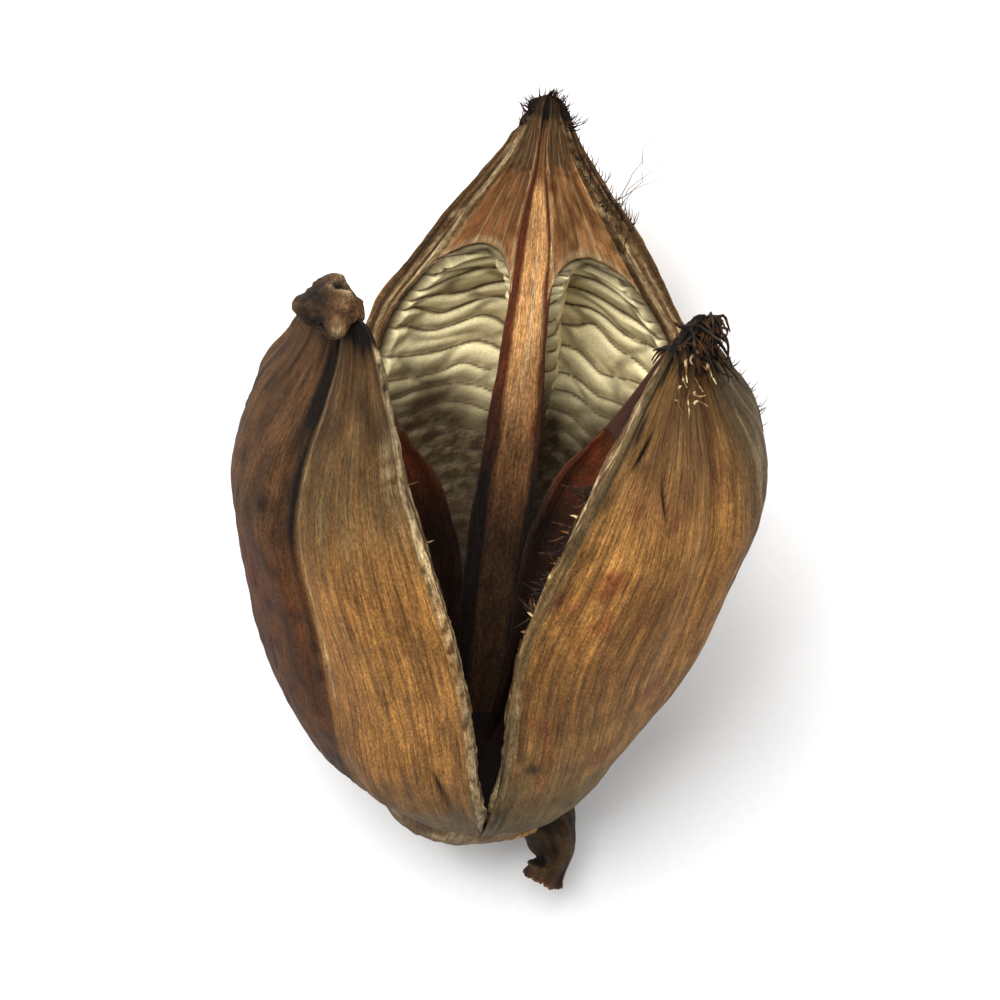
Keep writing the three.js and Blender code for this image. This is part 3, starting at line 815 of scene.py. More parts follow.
class Paint:
    """A valve's marks while they are made: where it is golden, red, grey, orange, pale or dark; dark holds
    painted shade as well as the husk's own dark colour.
    """

    def __init__(self, surface):
        seed = surface.valve.seed
        self.surface = surface
        self.seed = seed
        self.wide = surface.cloud(WIDE_CLOUD, seed)
        self.small = surface.cloud(SMALL_CLOUD, seed + 1)
        self.line = surface.cloud(LINE, seed + 2)
        self.blot = surface.cloud(BLOT, seed + 3)
        self.strand = surface.strands(13, seed + 4)
        self.rough = noise(surface.reach * 4, surface.s / 1.1, surface.hand * 3, seed=seed + 6)
        self.rim_strand = surface.cloud(RIM_STRAND, seed + 16)
        self.rim_fleck = surface.cloud(RIM_FLECK, seed + 17)
        self.torn = surface.torn(0.93, 0.955)
        self.turned_rim = surface.near_suture(0.92, 0.95)
        self.paint_all()
        painters = {"back": self.paint_back, "left": self.paint_left, "right": self.paint_right}
        painters[surface.valve.name]()
        if surface.valve is not BACK:
            self.paint_front_partition()

    def paint_all(self):
        """What all valves share: grey base, torn rims, red hollows with painted shade towards the base, and a
        dark tip.
        """
        s, outside, inside = self.surface.s, self.surface.outside, self.surface.inside
        base = 1 - smoothstep(s + 4 * self.small + 2 * self.line, 8, 26)
        tip = smoothstep(s + 1.5 * self.small, 84, 88)
        self.gold = outside * (0.6 + 0.35 * self.wide + 0.2 * self.line)
        self.red = inside * (0.9 - 0.5 * smoothstep(self.surface.reach, 0.1, 0.3))
        self.red += outside * smoothstep(self.wide + self.small, 0.5, 1.1) * 0.5
        self.grey = outside * base * 0.95 + self.torn * 0.35 + self.turned_rim * 0.3
        self.orange = 0 * outside
        self.pale = self.torn * smoothstep(self.strand, 0.1, 0.6) * 0.55
        self.pale += self.torn * smoothstep(self.rough, 0.55, 0.9) * 0.4
        self.dark = 0.85 * tip + 0.14 * outside * base
        self.dark += self.torn * smoothstep(-self.strand, 0.05, 0.5) * 0.55
        # Painted shade: the hollows darken towards the base, deep inside the capsule.
        self.dark += inside * (0.9 - 0.75 * smoothstep(s, 46, 66))

    def paint_left(self):
        """A blotched left face, darker partly in its own colour and partly from painted shade, a golden right
        face, and a ridge between them with painted shade in the valley and groove beside it.
        """
        surface, s, line, blot = self.surface, self.surface.s, self.line, self.blot
        from_furrow = surface.from_furrow
        left_face = surface.outside * falloff(from_furrow, *SHADE_TO_FACE)
        right_face = surface.outside - left_face
        high = smoothstep(s, 56, 70)
        self.gold = right_face * (0.72 + 0.3 * self.wide + 0.3 * line) * (1 - 0.55 * high)
        self.gold += left_face * 0.1 * (1 + line)
        blotch = smoothstep(self.wide + 0.7 * blot, 0.0, 0.7)
        blotch = blotch * smoothstep(s, 22, 32) * falloff(s, 56, 66)
        self.red = self.red * (1 - surface.outside) + left_face * (0.35 + 0.65 * blotch) + right_face * 0.1
        # Painted shade: a soft dark valley near the tip and a dark line in the groove beside the ridge.
        valley_shade = bell(from_furrow + 0.04 * blot, -0.06, 0.14) * smoothstep(s, 58, 68)
        crease_shade = bell(from_furrow, -0.03, 0.02) * smoothstep(s, 15, 40)
        # The left face is darker partly in its own colour and partly from painted shade.
        self.dark += left_face * (0.42 + 0.3 * blot + 0.15 * line + 0.5 * valley_shade + 0.25 * crease_shade)
        self.dark += right_face * smoothstep(s, 62, 80) * (0.46 + 0.25 * blot)
        self.grey += right_face * high * (0.5 + 0.4 * line) + left_face * high * 0.35
        ridge = bell(from_furrow, 0.05, 0.016) * smoothstep(s, 22, 40)
        self.pale += right_face * ridge * 0.45 * smoothstep(line, -0.6, 0.3)
        chip = bell(s, 74.5, 3.2) * bell(surface.angle, 0.94, 0.06)
        self.pale += surface.outside * chip * smoothstep(self.rough, -0.6, 0.2) * 0.6
        self.dark += surface.outside * left_crack(s, surface.lane)
        front = np.clip(surface.hand, 0, 1)
        border = surface.near_suture(0.945, 0.965) * front
        self.pale += self.torn * front * smoothstep(self.rough, -0.2, 0.6) * 0.5
        self.pale += border * np.clip(0.5 + 0.45 * self.rim_fleck + 0.3 * self.rim_strand, 0, 1)
        self.dark += border * smoothstep(-self.rim_fleck, 0.45, 0.7) * 0.6

    def paint_right(self):
        """A golden face with red spots and slits, a grey far side, a dark tip and a banded front rim."""
        surface, s, line, blot, small = self.surface, self.surface.s, self.line, self.blot, self.small
        outside = surface.outside
        far = outside * smoothstep(surface.angle, 0.2, 0.5) * smoothstep(s, 44, 54)
        ends = smoothstep(s + 3 * small, 60, 78) * 0.4 + falloff(s + 4 * small, 18, 46) * 0.35
        self.gold = outside * (0.6 + 0.35 * self.wide + 0.3 * line) - far * 0.35
        self.grey += far * 0.45 + outside * ends
        self.pale += far * smoothstep(blot + line, -0.2, 0.8) * 0.35
        self.pale += outside * bell(s, 85.5, 1.2) * bell(surface.lane, 4, 5) * 0.8
        self.red += outside * smoothstep(blot + 0.6 * small, 0.45, 0.9) * 0.35
        smudge = bell(s, 21, 1.3) * bell(surface.lane, -18.4, 1.2)
        self.dark += outside * (right_slits(s, surface.lane) * 0.95 + smudge * 0.7)
        self.dark += outside * smoothstep(s + 3 * blot, 66, 84) * 0.5
        front = np.clip(-surface.hand, 0, 1)
        rim = self.turned_rim * front
        streaks = smoothstep(self.rim_strand + 0.5 * self.rim_fleck, 0.2, 0.8)
        self.grey += rim * 0.5
        self.pale += self.torn * front * smoothstep(self.rough, 0.1, 0.8) * 0.4
        self.pale += rim * streaks * (0.3 + 0.5 * smoothstep(s, 50, 70))
        self.dark += rim * smoothstep(-self.rim_strand, 0.1, 0.6) * 0.5
        # Painted shade: a dark line at the foot of the front rim's raised band.
        groove_shade = bell(np.abs(surface.angle), SUTURE * 0.9, 0.022) * smoothstep(line + blot, -0.8, 0.4)
        self.dark += outside * front * groove_shade * 0.6

    def paint_back(self):
        """An orange beak with pale stripes, a grey cap, and the partition's edge: painted light on its middle
        stretch, painted shade lower down, and its red side.
        """
        surface, s, seed = self.surface, self.surface.s, self.seed
        beak, edge, reach, hand = surface.beak, surface.edge, surface.reach, surface.hand
        capped = smoothstep(s + 1.2 * self.small + 0.6 * noise(reach * 9, s, seed=seed + 33), 79.2, 81.4)
        bare = beak * (1 - capped)
        mottle = noise(reach * 4, s / 3, hand * 3, seed=seed + 30)
        grain = noise(reach * 12 + 0.6 * mottle, s / 1.6, hand * 3, seed=seed + 7)
        self.orange += bare * (0.26 + 0.3 * grain + 0.2 * mottle) * (1 - 0.35 * hand)
        self.gold += bare * 0.3
        ruddy = 0.38 + 0.55 * smoothstep(grain + mottle, -0.2, 0.7)
        self.red += beak * (ruddy + 0.5 * bell(reach, 0.1, 0.05))
        swayed = reach + 0.03 * noise(s / 5, hand * 3, seed=seed + 8) + 0.012 * mottle
        for place, width, amount in BEAK_STRIPES:
            self.pale += beak * bell(swayed, place, width) * amount * smoothstep(grain, -0.9, 0.1)
        self.pale += beak * bell(surface.station, HOLLOW_END + 0.6, 0.5) * 0.5
        self.grey += beak * capped * 0.6
        self.dark = self.dark * (1 - beak) + beak * capped * 0.2 * grain + 0.75 * smoothstep(s, 86.5, 88)
        # Painted light on the edge's middle stretch; painted shade lower down and along its red margins,
        # which are also the edge's own red.
        lit = smoothstep(s, 44, 64) * falloff(s, 77.5, 80)
        margin = smoothstep(reach + 0.12 * hand + 0.06 * noise(s / 3, hand, seed=seed + 31), 0.5, 0.72)
        face = edge * (1 - margin)
        fibre = surface.edge_fibre(16, seed + 9)
        self.orange += face * (0.35 + 0.65 * lit)
        self.red += edge * (0.3 + 0.7 * margin + 0.3 * smoothstep(-fibre, 0.1, 0.6))
        self.red += edge * 0.4 * falloff(s, 34, 60)
        shaded = 0.86 * falloff(s, 30, 60) + 0.4 * margin
        self.dark += edge * (shaded + 0.2 * smoothstep(s, 76.5, 79.5))
        self.pale += face * smoothstep(fibre, 0.2, 0.6) * 0.55 * lit
        self.dark += self.torn * smoothstep(reach, 0.75, 1.0) * surface.rim * 0.45 + self.turned_rim * 0.4

    def paint_front_partition(self):
        """The dark red partitions of the front valves, with painted shade that deepens towards the base, and
        a few pale specks.
        """
        surface, s = self.surface, self.surface.s
        fibre = surface.edge_fibre(9, self.seed + 9)
        strip = surface.edge + surface.beak
        specks = noise(surface.reach * 3, s / 1.5, seed=self.seed + 32)
        self.red += strip * (0.6 + 0.4 * fibre) + surface.inside * smoothstep(s, 40, 56) * 0.3
        # Painted shade: the partitions darken towards the base, deep in the hollows.
        self.dark += strip * (0.75 - 0.5 * smoothstep(s, 36, 56) + 0.25 * fibre) + surface.beak * 0.25
        self.pale += surface.edge * smoothstep(specks, 0.6, 0.85) * 0.6

    def marks(self):
        """The finished marks, from 0 to 1."""
        return {name: np.clip(getattr(self, name), 0, 1) for name in MARKS}


def valve_relief(surface, sizes):
    """How far each point of a valve stands out, in millimetres."""
    valve, s = surface.valve, surface.s
    reach, angle, hand, outside = surface.reach, surface.angle, surface.hand, surface.outside
    seed = valve.seed + 50
    fibre = sizes.fibre_relief / MM
    torn_height = sizes.rim_relief / MM
    relief = outside * fibre * (surface.cloud(RIDGE, seed) + 0.9 * surface.cloud(WIDE_RIDGE, seed + 1))
    relief += outside * (0.28 * surface.cloud(SWELL, seed + 2) + 0.06 * surface.cloud(TOOTH, seed + 3))
    ragged = noise(s / 2.4, hand * 5, seed=seed + 6) + 0.6 * noise(s / 0.9, hand * 5, seed=seed + 7)
    bands = noise(np.abs(angle) * 45, s / 12, hand * 4, seed=seed + 15)
    torn = surface.torn(0.95, 0.99)
    relief += torn * torn_height * (1.3 * surface.strands(14, seed + 4) + 0.45 * ragged)
    relief += surface.near_suture(0.91, 0.96) * torn_height * (0.4 + 0.25 * ragged + 1.1 * bands)
    relief += surface.edge * 0.13 * surface.edge_fibre(14, seed + 9)
    relief += surface.beak * 0.1 * noise(reach * 14, s / 20, hand, seed=seed + 10)
    relief += surface.beak * 0.07 * noise(reach * 10, s / 1.3, hand, seed=seed + 11)
    relief += surface.inside * (1 - torn) * 0.12 * noise(reach * 9, s / 3, hand, seed=seed + 12)
    tip = noise(angle * 5, s / 1.2, reach * 5, seed=seed + 14)
    if valve is BACK:
        ledge = bell(s, CAP_START + 0.5 * noise(reach * 5, hand, seed=seed + 13), 0.35)
        relief += surface.beak * (0.35 * ledge + 0.2 * smoothstep(s, CAP_START, 81.2))
        relief += smoothstep(s, 82, 86) * 0.25 * tip
    if valve is LEFT:
        relief -= outside * 0.22 * bell(surface.from_furrow, -0.01, 0.02) * smoothstep(s, 16, 34)
        relief -= outside * 0.6 * left_crack(s, surface.lane)
    if valve is RIGHT:
        relief -= outside * 0.7 * right_slits(s, surface.lane)
        relief += smoothstep(s, 80, 86) * 0.3 * tip
    return relief


def build_valve(valve, sizes, finish):
    """One valve as a closed, fibrous piece."""
    (s, a, r), columns, station = valve_grid(valve)
    marks = Paint(Surface(valve, s, columns, station)).marks()
    marks["grain"] = ring_grain(s, a, r, valve.seed)
    return make_piece(f"valve_{valve.name}", carved_grid(valve, sizes), finish, marks)


def carved_grid(valve, sizes):
    """A valve's surface points with their relief, where they lie."""
    (s, a, r), columns, station = valve_grid(valve)
    grid = lay(valve.place(s, a, r))
    relief = valve_relief(Surface(valve, s, columns, station), sizes)
    grid = grid + normals_of(grid) * relief[..., None]
    grid[..., 2] = np.maximum(grid[..., 2], 0)
    return grid


class POD_OT_valves(bpy.types.Operator):
    """Make the three woody valves with their partitions and rims"""

    bl_idname = "pod.valves"
    bl_label = "Valves"

    def execute(self, context):
        finish = material_named("pod_husk", husk_finish, context)
        for valve in VALVES:
            build_valve(valve, context.scene.pod_sizes, finish)
        return {"FINISHED"}


# Linings
LINING_START = 13
WALL_START = HOLLOW_END - END_SLOPE
LINING_TOP = math.radians(84)
LINING_NEAR = 0.36
LINING_CLIMB = 0.2
LINING_FAR = 0.958
LINING_GAP = 0.25
LINING_UNDERSIDE = 0.1
LINING_THICKNESS = 0.8
CUSHION_WIDTH = 8.0
ARCH_FADE = 14
FINE_GRID = (310, 128)
PLAIN_GRID = (120, 72)
LOWER_COLUMNS = 18


def cushions(down, sideways, pitch, seed):
    """Height, lit side and painted shade of the creases of the puffed cells, from the distance below the arch
    and sideways.
    """
    bowed = down + 1.6 * noise(sideways / 6, down / 9, seed=seed)
    bowed += 0.45 * noise(sideways / 3, down / 4, seed=seed + 1)
    rows = bowed / pitch + 0.0025 * bowed ** 2
    best = np.full(rows.shape, 9.0)
    second = np.full(rows.shape, 9.0)
    best_row = np.zeros(rows.shape)
    second_row = np.zeros(rows.shape)
    lit = np.zeros(rows.shape)
    for row_step in (-1, 0, 1):
        row = np.floor(rows) + row_step
        cells = sideways / CUSHION_WIDTH - 0.5 * (row % 2)
        for cell_step in (-1, 0, 1):
            cell = np.floor(cells) + cell_step
            middle_row = row + 0.5 + 0.27 * noise(row, cell, seed=seed + 2)
            middle_cell = cell + 0.5 + 0.42 * noise(row, cell, seed=seed + 3)
            distance = np.hypot(rows - middle_row, 0.62 * (cells - middle_cell))
            nearer = distance < best
            second_row = np.where(nearer, best_row, np.where(distance < second, row, second_row))
            second = np.where(nearer, best, np.minimum(second, distance))
            best_row = np.where(nearer, row, best_row)
            best = np.where(nearer, distance, best)
            lit = np.where(nearer, middle_row - rows, lit)
    apart = second - best
    weight = np.where(best_row == second_row, 0.45, 1.0)
    sag = 1 - np.clip(apart / 0.5, 0, 1)
    height = (1 - weight * sag ** 2) * (0.72 + 0.5 * np.clip(lit, -0.5, 0.5))
    # Painted shade along the creases between the cells.
    crease_shade = weight * falloff(apart, 0.02, 0.17)
    return height, lit, crease_shade


def hollow_wall(valve, hand, s, f):
    """Points of a hollow's wall and their smoothed directions into the hollow."""
    t, a, r = hollow_point(s + 0 * f, f + 0 * s)
    points = valve.place(t, hand * a, r)
    normal = np.cross(np.gradient(points, axis=0), np.gradient(points, axis=1))
    for _ in range(5):
        normal = blended(normal)
        soften(normal)
    return points, hand * normal / np.maximum(np.linalg.norm(normal, axis=-1, keepdims=True), 1e-9)


def wall_distances(points):
    """How far each point lies below the arch, and sideways from the middle column, along the wall."""
    rows, columns = points.shape[:2]
    step_down = np.linalg.norm(np.diff(points, axis=0), axis=-1)
    down = np.vstack([np.cumsum(step_down[::-1], axis=0)[::-1], np.zeros((1, columns))])
    step_side = np.linalg.norm(np.diff(points, axis=1), axis=-1)
    sideways = np.hstack([np.zeros((rows, 1)), np.cumsum(step_side, axis=1)])
    return down, sideways - sideways[:, columns // 2:columns // 2 + 1]


def build_lining(valve, hand, name, sizes, finish):
    """One hollow's wrinkled lining, a closed sheet over its wall."""
    rows, columns = FINE_GRID if valve is BACK else PLAIN_GRID
    climb = np.sin(np.linspace(0, LINING_TOP, rows * 2 // 5))
    plain = np.linspace(LINING_START, WALL_START, rows - climb.size, endpoint=False)
    s = np.concatenate([plain, WALL_START + END_SLOPE * climb])[:, None]
    across = np.linspace(0, 1, columns)[None, :]
    near = LINING_NEAR - LINING_CLIMB * smoothstep(s, 46, 66)
    points, normal = hollow_wall(valve, hand, s, near + (LINING_FAR - near) * across)
    down, sideways = wall_distances(points)
    middle = down[:, columns // 2][:, None]
    near_arch = np.exp(-middle / ARCH_FADE)
    fall = down * near_arch + middle * (1 - near_arch)
    height, lit, crease_shade = cushions(fall, sideways, sizes.fold_pitch / MM, valve.seed * 10 + hand)
    for _ in range(4):
        soften(height)
        soften(height.T)
    strength = 0.35 + 0.65 * falloff(fall, 24, 46)
    border = np.minimum(smoothstep(across, 0, 0.05), 1 - smoothstep(across, 0.95, 1))
    border = border * smoothstep(s, LINING_START, LINING_START + 2) * smoothstep(down, 0, 0.9)
    rise = LINING_THICKNESS * (0.2 + 0.8 * border) + sizes.fold_height / MM * height * strength * border
    upper = points + normal * (LINING_GAP + rise)[..., None]

    # Painted shade along the lining's border, where it meets the wall.
    outline = np.maximum(smoothstep(across, 0.95, 0.985) + 0 * s, 1 - smoothstep(down, 0.3, 1.4))
    crease_shade = np.maximum(crease_shade, 0.75 * outline)
    cloud = noise(sideways / 4, down / 6, seed=valve.seed + 77)
    # The lower part is darker, partly painted shade and partly stain.
    low = smoothstep(fall + 3 * cloud, 25, 36)
    # Painted light on each cushion's lit side; painted shade in the creases, along the border and deep in the
    # hollow.
    marks = {
        "painted_light": smoothstep(lit, -0.4, 0.3) * (1 - 0.7 * low) * (1 - crease_shade),
        "low": low,
        "stain": smoothstep(cloud, 0.3, 0.9) * (0.12 + 0.7 * low),
        "crease_shade": np.clip(crease_shade * (0.9 - 0.25 * low) + 0.9 * smoothstep(fall, 42, 58), 0, 1),
        "grain": np.stack([sideways, down, 0 * down + 90 * valve.seed + 9 * hand], -1),
    }
    lower_columns = np.linspace(columns - 1, 0, LOWER_COLUMNS).astype(int)
    lower = (points + normal * LINING_UNDERSIDE)[:, lower_columns]
    grid = lay(np.concatenate([upper, lower], axis=1))
    marks = {key: np.concatenate([values, values[:, lower_columns]], axis=1) for key, values in marks.items()}
    if hand > 0:
        grid = grid[:, ::-1]
        marks = {key: values[:, ::-1] for key, values in marks.items()}
    return make_piece(name, grid, finish, marks, (f"lining_{name.removeprefix('skin_')}",))


class POD_OT_linings(bpy.types.Operator):
    """Make the six wrinkled linings of the hollows"""

    bl_idname = "pod.linings"
    bl_label = "Linings"

    def execute(self, context):
        finish = material_named("pod_lining", lining_finish, context)
        for valve in VALVES:
            for hand, side in zip((-1, 1), SIDES[valve.name]):
                build_lining(valve, hand, f"skin_{valve.name}_{side}", context.scene.pod_sizes, finish)
        return {"FINISHED"}


# Base, stalk and knob
def plain_marks(shape, **marks):
    """Marks for a woody piece, 0 where none is given."""
    return {name: np.clip(marks.get(name, 0) + np.zeros(shape), 0, 1) for name in MARKS}


def build_base(finish):
    """The short base that the valves grow from, with a torn flake beside the stalk."""
    heights = np.linspace(CORE[0][0], CORE[-1][0], 72)[:, None]
    turn = turns(150)[None, :]
    radius = along([(h, r) for h, r, _ in CORE], heights) + 0 * turn
    shift = along([(h, x) for h, _, x in CORE], heights)
    x, y = np.cos(turn) * 9, np.sin(turn) * 9
    relief = 0.28 * noise(x * 1.2, y * 1.2, heights / 5, seed=81)
    relief += 0.3 * noise(x / 4, y / 4, heights / 4, seed=82)
    torn = bell(turn, FLAKE_TURN, 0.2) * bell(heights, FLAKE_HEIGHT, 1.3)
    flake = smoothstep(torn + 0.12 * noise(x, y, heights, seed=84), 0.3, 0.5)
    relief += 0.7 * flake * (0.6 + 0.8 * noise(x * 1.5, y * 1.5, heights * 1.5, seed=85))
    out = radius + relief
    points = np.stack([shift + out * np.cos(turn), out * np.sin(turn), heights + 0 * turn], -1)
    rough = noise(x * 0.8, y * 0.8, heights / 1.6, seed=83)
    # Painted shade at the top of the base, down between the valves.
    hidden_shade = smoothstep(heights, 6.2, 7.4) + 0 * turn
    marks = plain_marks(
        relief.shape, grey=0.7 + 0.3 * rough, pale=0.35 * smoothstep(rough, 0.1, 0.8), gold=0.3 + 0.4 * flake,
        orange=0.5 * flake, red=0.5 * flake, dark=hidden_shade + 0.3 * smoothstep(-rough, 0.2, 0.7),
    )
    marks["grain"] = np.stack([x + 0 * heights, y + 0 * heights, heights + 0 * turn], -1)
    return make_piece("base", lay(points), finish, marks)


def build_stalk(finish):
    """The bent stalk with its torn end."""
    t = np.linspace(0, 1, 96)
    turn = turns(84)
    x, y = np.cos(turn)[None, :] * 3, np.sin(turn)[None, :] * 3
    step = t[:, None]
    relief = 0.25 * noise(x * 1.6, y * 1.6, step * 6, seed=91)
    relief += 0.3 * noise(x / 2, y / 2, step * 7, seed=92)
    scar = bell(step, 0.72, 0.05) * smoothstep(x, 1.0, 2.6)
    relief = relief - 0.8 * scar + 0.35 * bell(step, 0.8, 0.03) * smoothstep(x, 0.6, 2.4)
    splinters = 0.3 * noise(x / 1.5, y / 1.5, seed=93) + 0.35 * noise(x * 3.4, y * 3.4, seed=94)
    torn = smoothstep(step, 0.88, 1) * splinters
    points = stalk_rings(t, turn, relief, torn)
    # Painted shade: darker where the stalk's relief sinks, greyer where it rises; the scar is darker too.
    rough = relief / 0.3
    marks = plain_marks(
        relief.shape, grey=0.3 + 0.3 * rough, dark=0.66 - 0.25 * rough + 0.3 * scar,
        red=smoothstep(step, 0.86, 0.97) * 0.9, orange=smoothstep(step, 0.95, 1) * 0.4,
    )
    marks["grain"] = np.stack([x + 0 * step, y + 0 * step, step * 22 + 0 * x], -1)
    return make_piece("stalk", lay(points), finish, marks)


def build_knob(finish):
    """The dark, lumpy remnant on the left valve's tip, with a cup-like hole."""
    polar = np.linspace(0.02, np.pi - 0.02, 90)[:, None]
    turn = turns(130)[None, :]
    x, y = np.sin(polar) * np.cos(turn), np.sin(polar) * np.sin(turn)
    z = -np.cos(polar) + 0 * turn
    way = np.stack([x, y, z], -1)
    lump = 1 + 0.16 * np.sin(5 * x + 1) + 0.12 * np.sin(5 * y - 3 * z)
    lump += 0.17 * noise(x * 2.2, y * 2.2, z * 2.2, seed=95)
    lump += 0.07 * noise(x * 7, y * 7, z * 7, seed=96)
    mouth = way @ np.array(CUP_DIRECTION) + 0.05 * noise(x * 4, y * 4, z * 4, seed=97)
    cup = smoothstep(mouth, 0.93, 0.99)
    brim = bell(mouth, 0.9, 0.05)
    lump = lump - 0.5 * cup + 0.1 * brim
    centre = LEFT.place(*[np.array([v]) for v in KNOB_PLACE])
    points = centre + way * lump[..., None] * np.array(KNOB_RADIUS) * np.array(KNOB_SWELL)
    # Painted shade: darker on one side, in the cup and in the lump's hollows; lighter on the cup's brim and
    # the highest lumps.
    marks = plain_marks(
        lump.shape, dark=0.66 - 0.25 * x + 0.9 * cup + 0.8 * (1 - lump), grey=0.3, red=0.25, gold=0.2,
        pale=brim * 0.35 + smoothstep(lump, 1.15, 1.4) * 0.3,
    )
    marks["grain"] = way * 3
    return make_piece("knob", lay(points), finish, marks)


class POD_OT_base(bpy.types.Operator):
    """Make the base, the stalk and the knob on the left tip"""

    bl_idname = "pod.base"
    bl_label = "Base, stalk and knob"

    def execute(self, context):
        finish = material_named("pod_husk", husk_finish, context)
        for build in (build_base, build_stalk, build_knob):
            build(finish)
        return {"FINISHED"}


# Frayed fibres
DARK_FIBRE = "pod_fibre_dark"
PALE_FIBRE = "pod_fibre_pale"
INNER_REACH = 0.9


class Fringe(NamedTuple):
    """Where one kind of torn fibre grows, and how."""

    name: str
    valve: Valve
    stations: tuple
    angles: tuple
    density: float
    length: float
    thickness: float
    curl: float
    lean: tuple
    finish: str
    seed: int
    inner: bool = False


# The angles are in degrees round the valve, the density per square centimetre, the rest in millimetres.
FRINGES = [
    Fringe("fuzz_back_tip", BACK, (85.5, 88), (-60, 60), 260, 1.2, 0.1, 1.5, (0.2, 0.7, 0.3), DARK_FIBRE, 1),
    Fringe(
        "fuzz_back_right", BACK, (70, 85), (-61, -54),
        170, 1.3, 0.09, 1.0, (-0.3, 1.0, 0.2), DARK_FIBRE, 2,
    ),
    Fringe("hairs_back", BACK, (74, 76.5), (-61, -54), 34, 9.0, 0.07, 3.4, (2.2, 3.5, 1.0), DARK_FIBRE, 3),
    Fringe(
        "tuft_right", RIGHT, (84.5, 88), (-60, 60),
        110, 2.1, 0.34, 3.4, (0.2, -2.6, -0.8), DARK_FIBRE, 4,
    ),
    Fringe("wisps_right", RIGHT, (80, 86), (-40, 10), 26, 1.8, 0.26, 3.0, (0.3, -1.8, 0.2), PALE_FIBRE, 5),
    Fringe(
        "hairs_right_lobe", RIGHT, (50, 78), (54, 61),
        60, 0.9, 0.08, 0.8, (0.2, 0.6, 0.0), DARK_FIBRE, 6,
    ),
    Fringe(
        "scraps_right", RIGHT, (42, 66), (-61, -57),
        260, 1.5, 0.2, 2.8, (-0.9, 0.1, -0.7), DARK_FIBRE, 7, True,
    ),
    Fringe(
        "flecks_right", RIGHT, (44, 66), (-61, -57),
        60, 0.9, 0.26, 1.6, (-0.5, 0.1, -0.3), PALE_FIBRE, 9, True,
    ),
    Fringe(
        "scraps_left", LEFT, (40, 66), (57, 61),
        50, 0.9, 0.22, 1.2, (0.4, 0.1, -0.2), PALE_FIBRE, 8, True,
    ),
]
FIBRE_POINTS = 8
FIBRE_SIDES = 3
SHORTEST_FIBRE = 0.3
FIBRE_TAPER = 0.75
CURL_SCALE = 420.0
CURL_REACH = 3.0


def fibre_finish(name, first, second):
    """Dry torn fibre, between two colours."""
    finish = Finish(name)
    cloud = finish.cloud(700.0, 3.0)
    colour = finish.mix(finish.band(cloud, 0.46, 0.64), rgba(first), rgba(second))
    return finish.close(colour, finish.band(cloud, 0.3, 0.7, 0.55, 0.8), finish.bump(cloud, 0.03), 0.15)


def dark_fibre_finish(colours):
    """Nearly black and red-brown fibres."""
    return fibre_finish(DARK_FIBRE, colours.dark, colours.umber)


def pale_fibre_finish(colours):
    """Tan and brown fibres."""
    return fibre_finish(PALE_FIBRE, colours.brown, colours.pale)


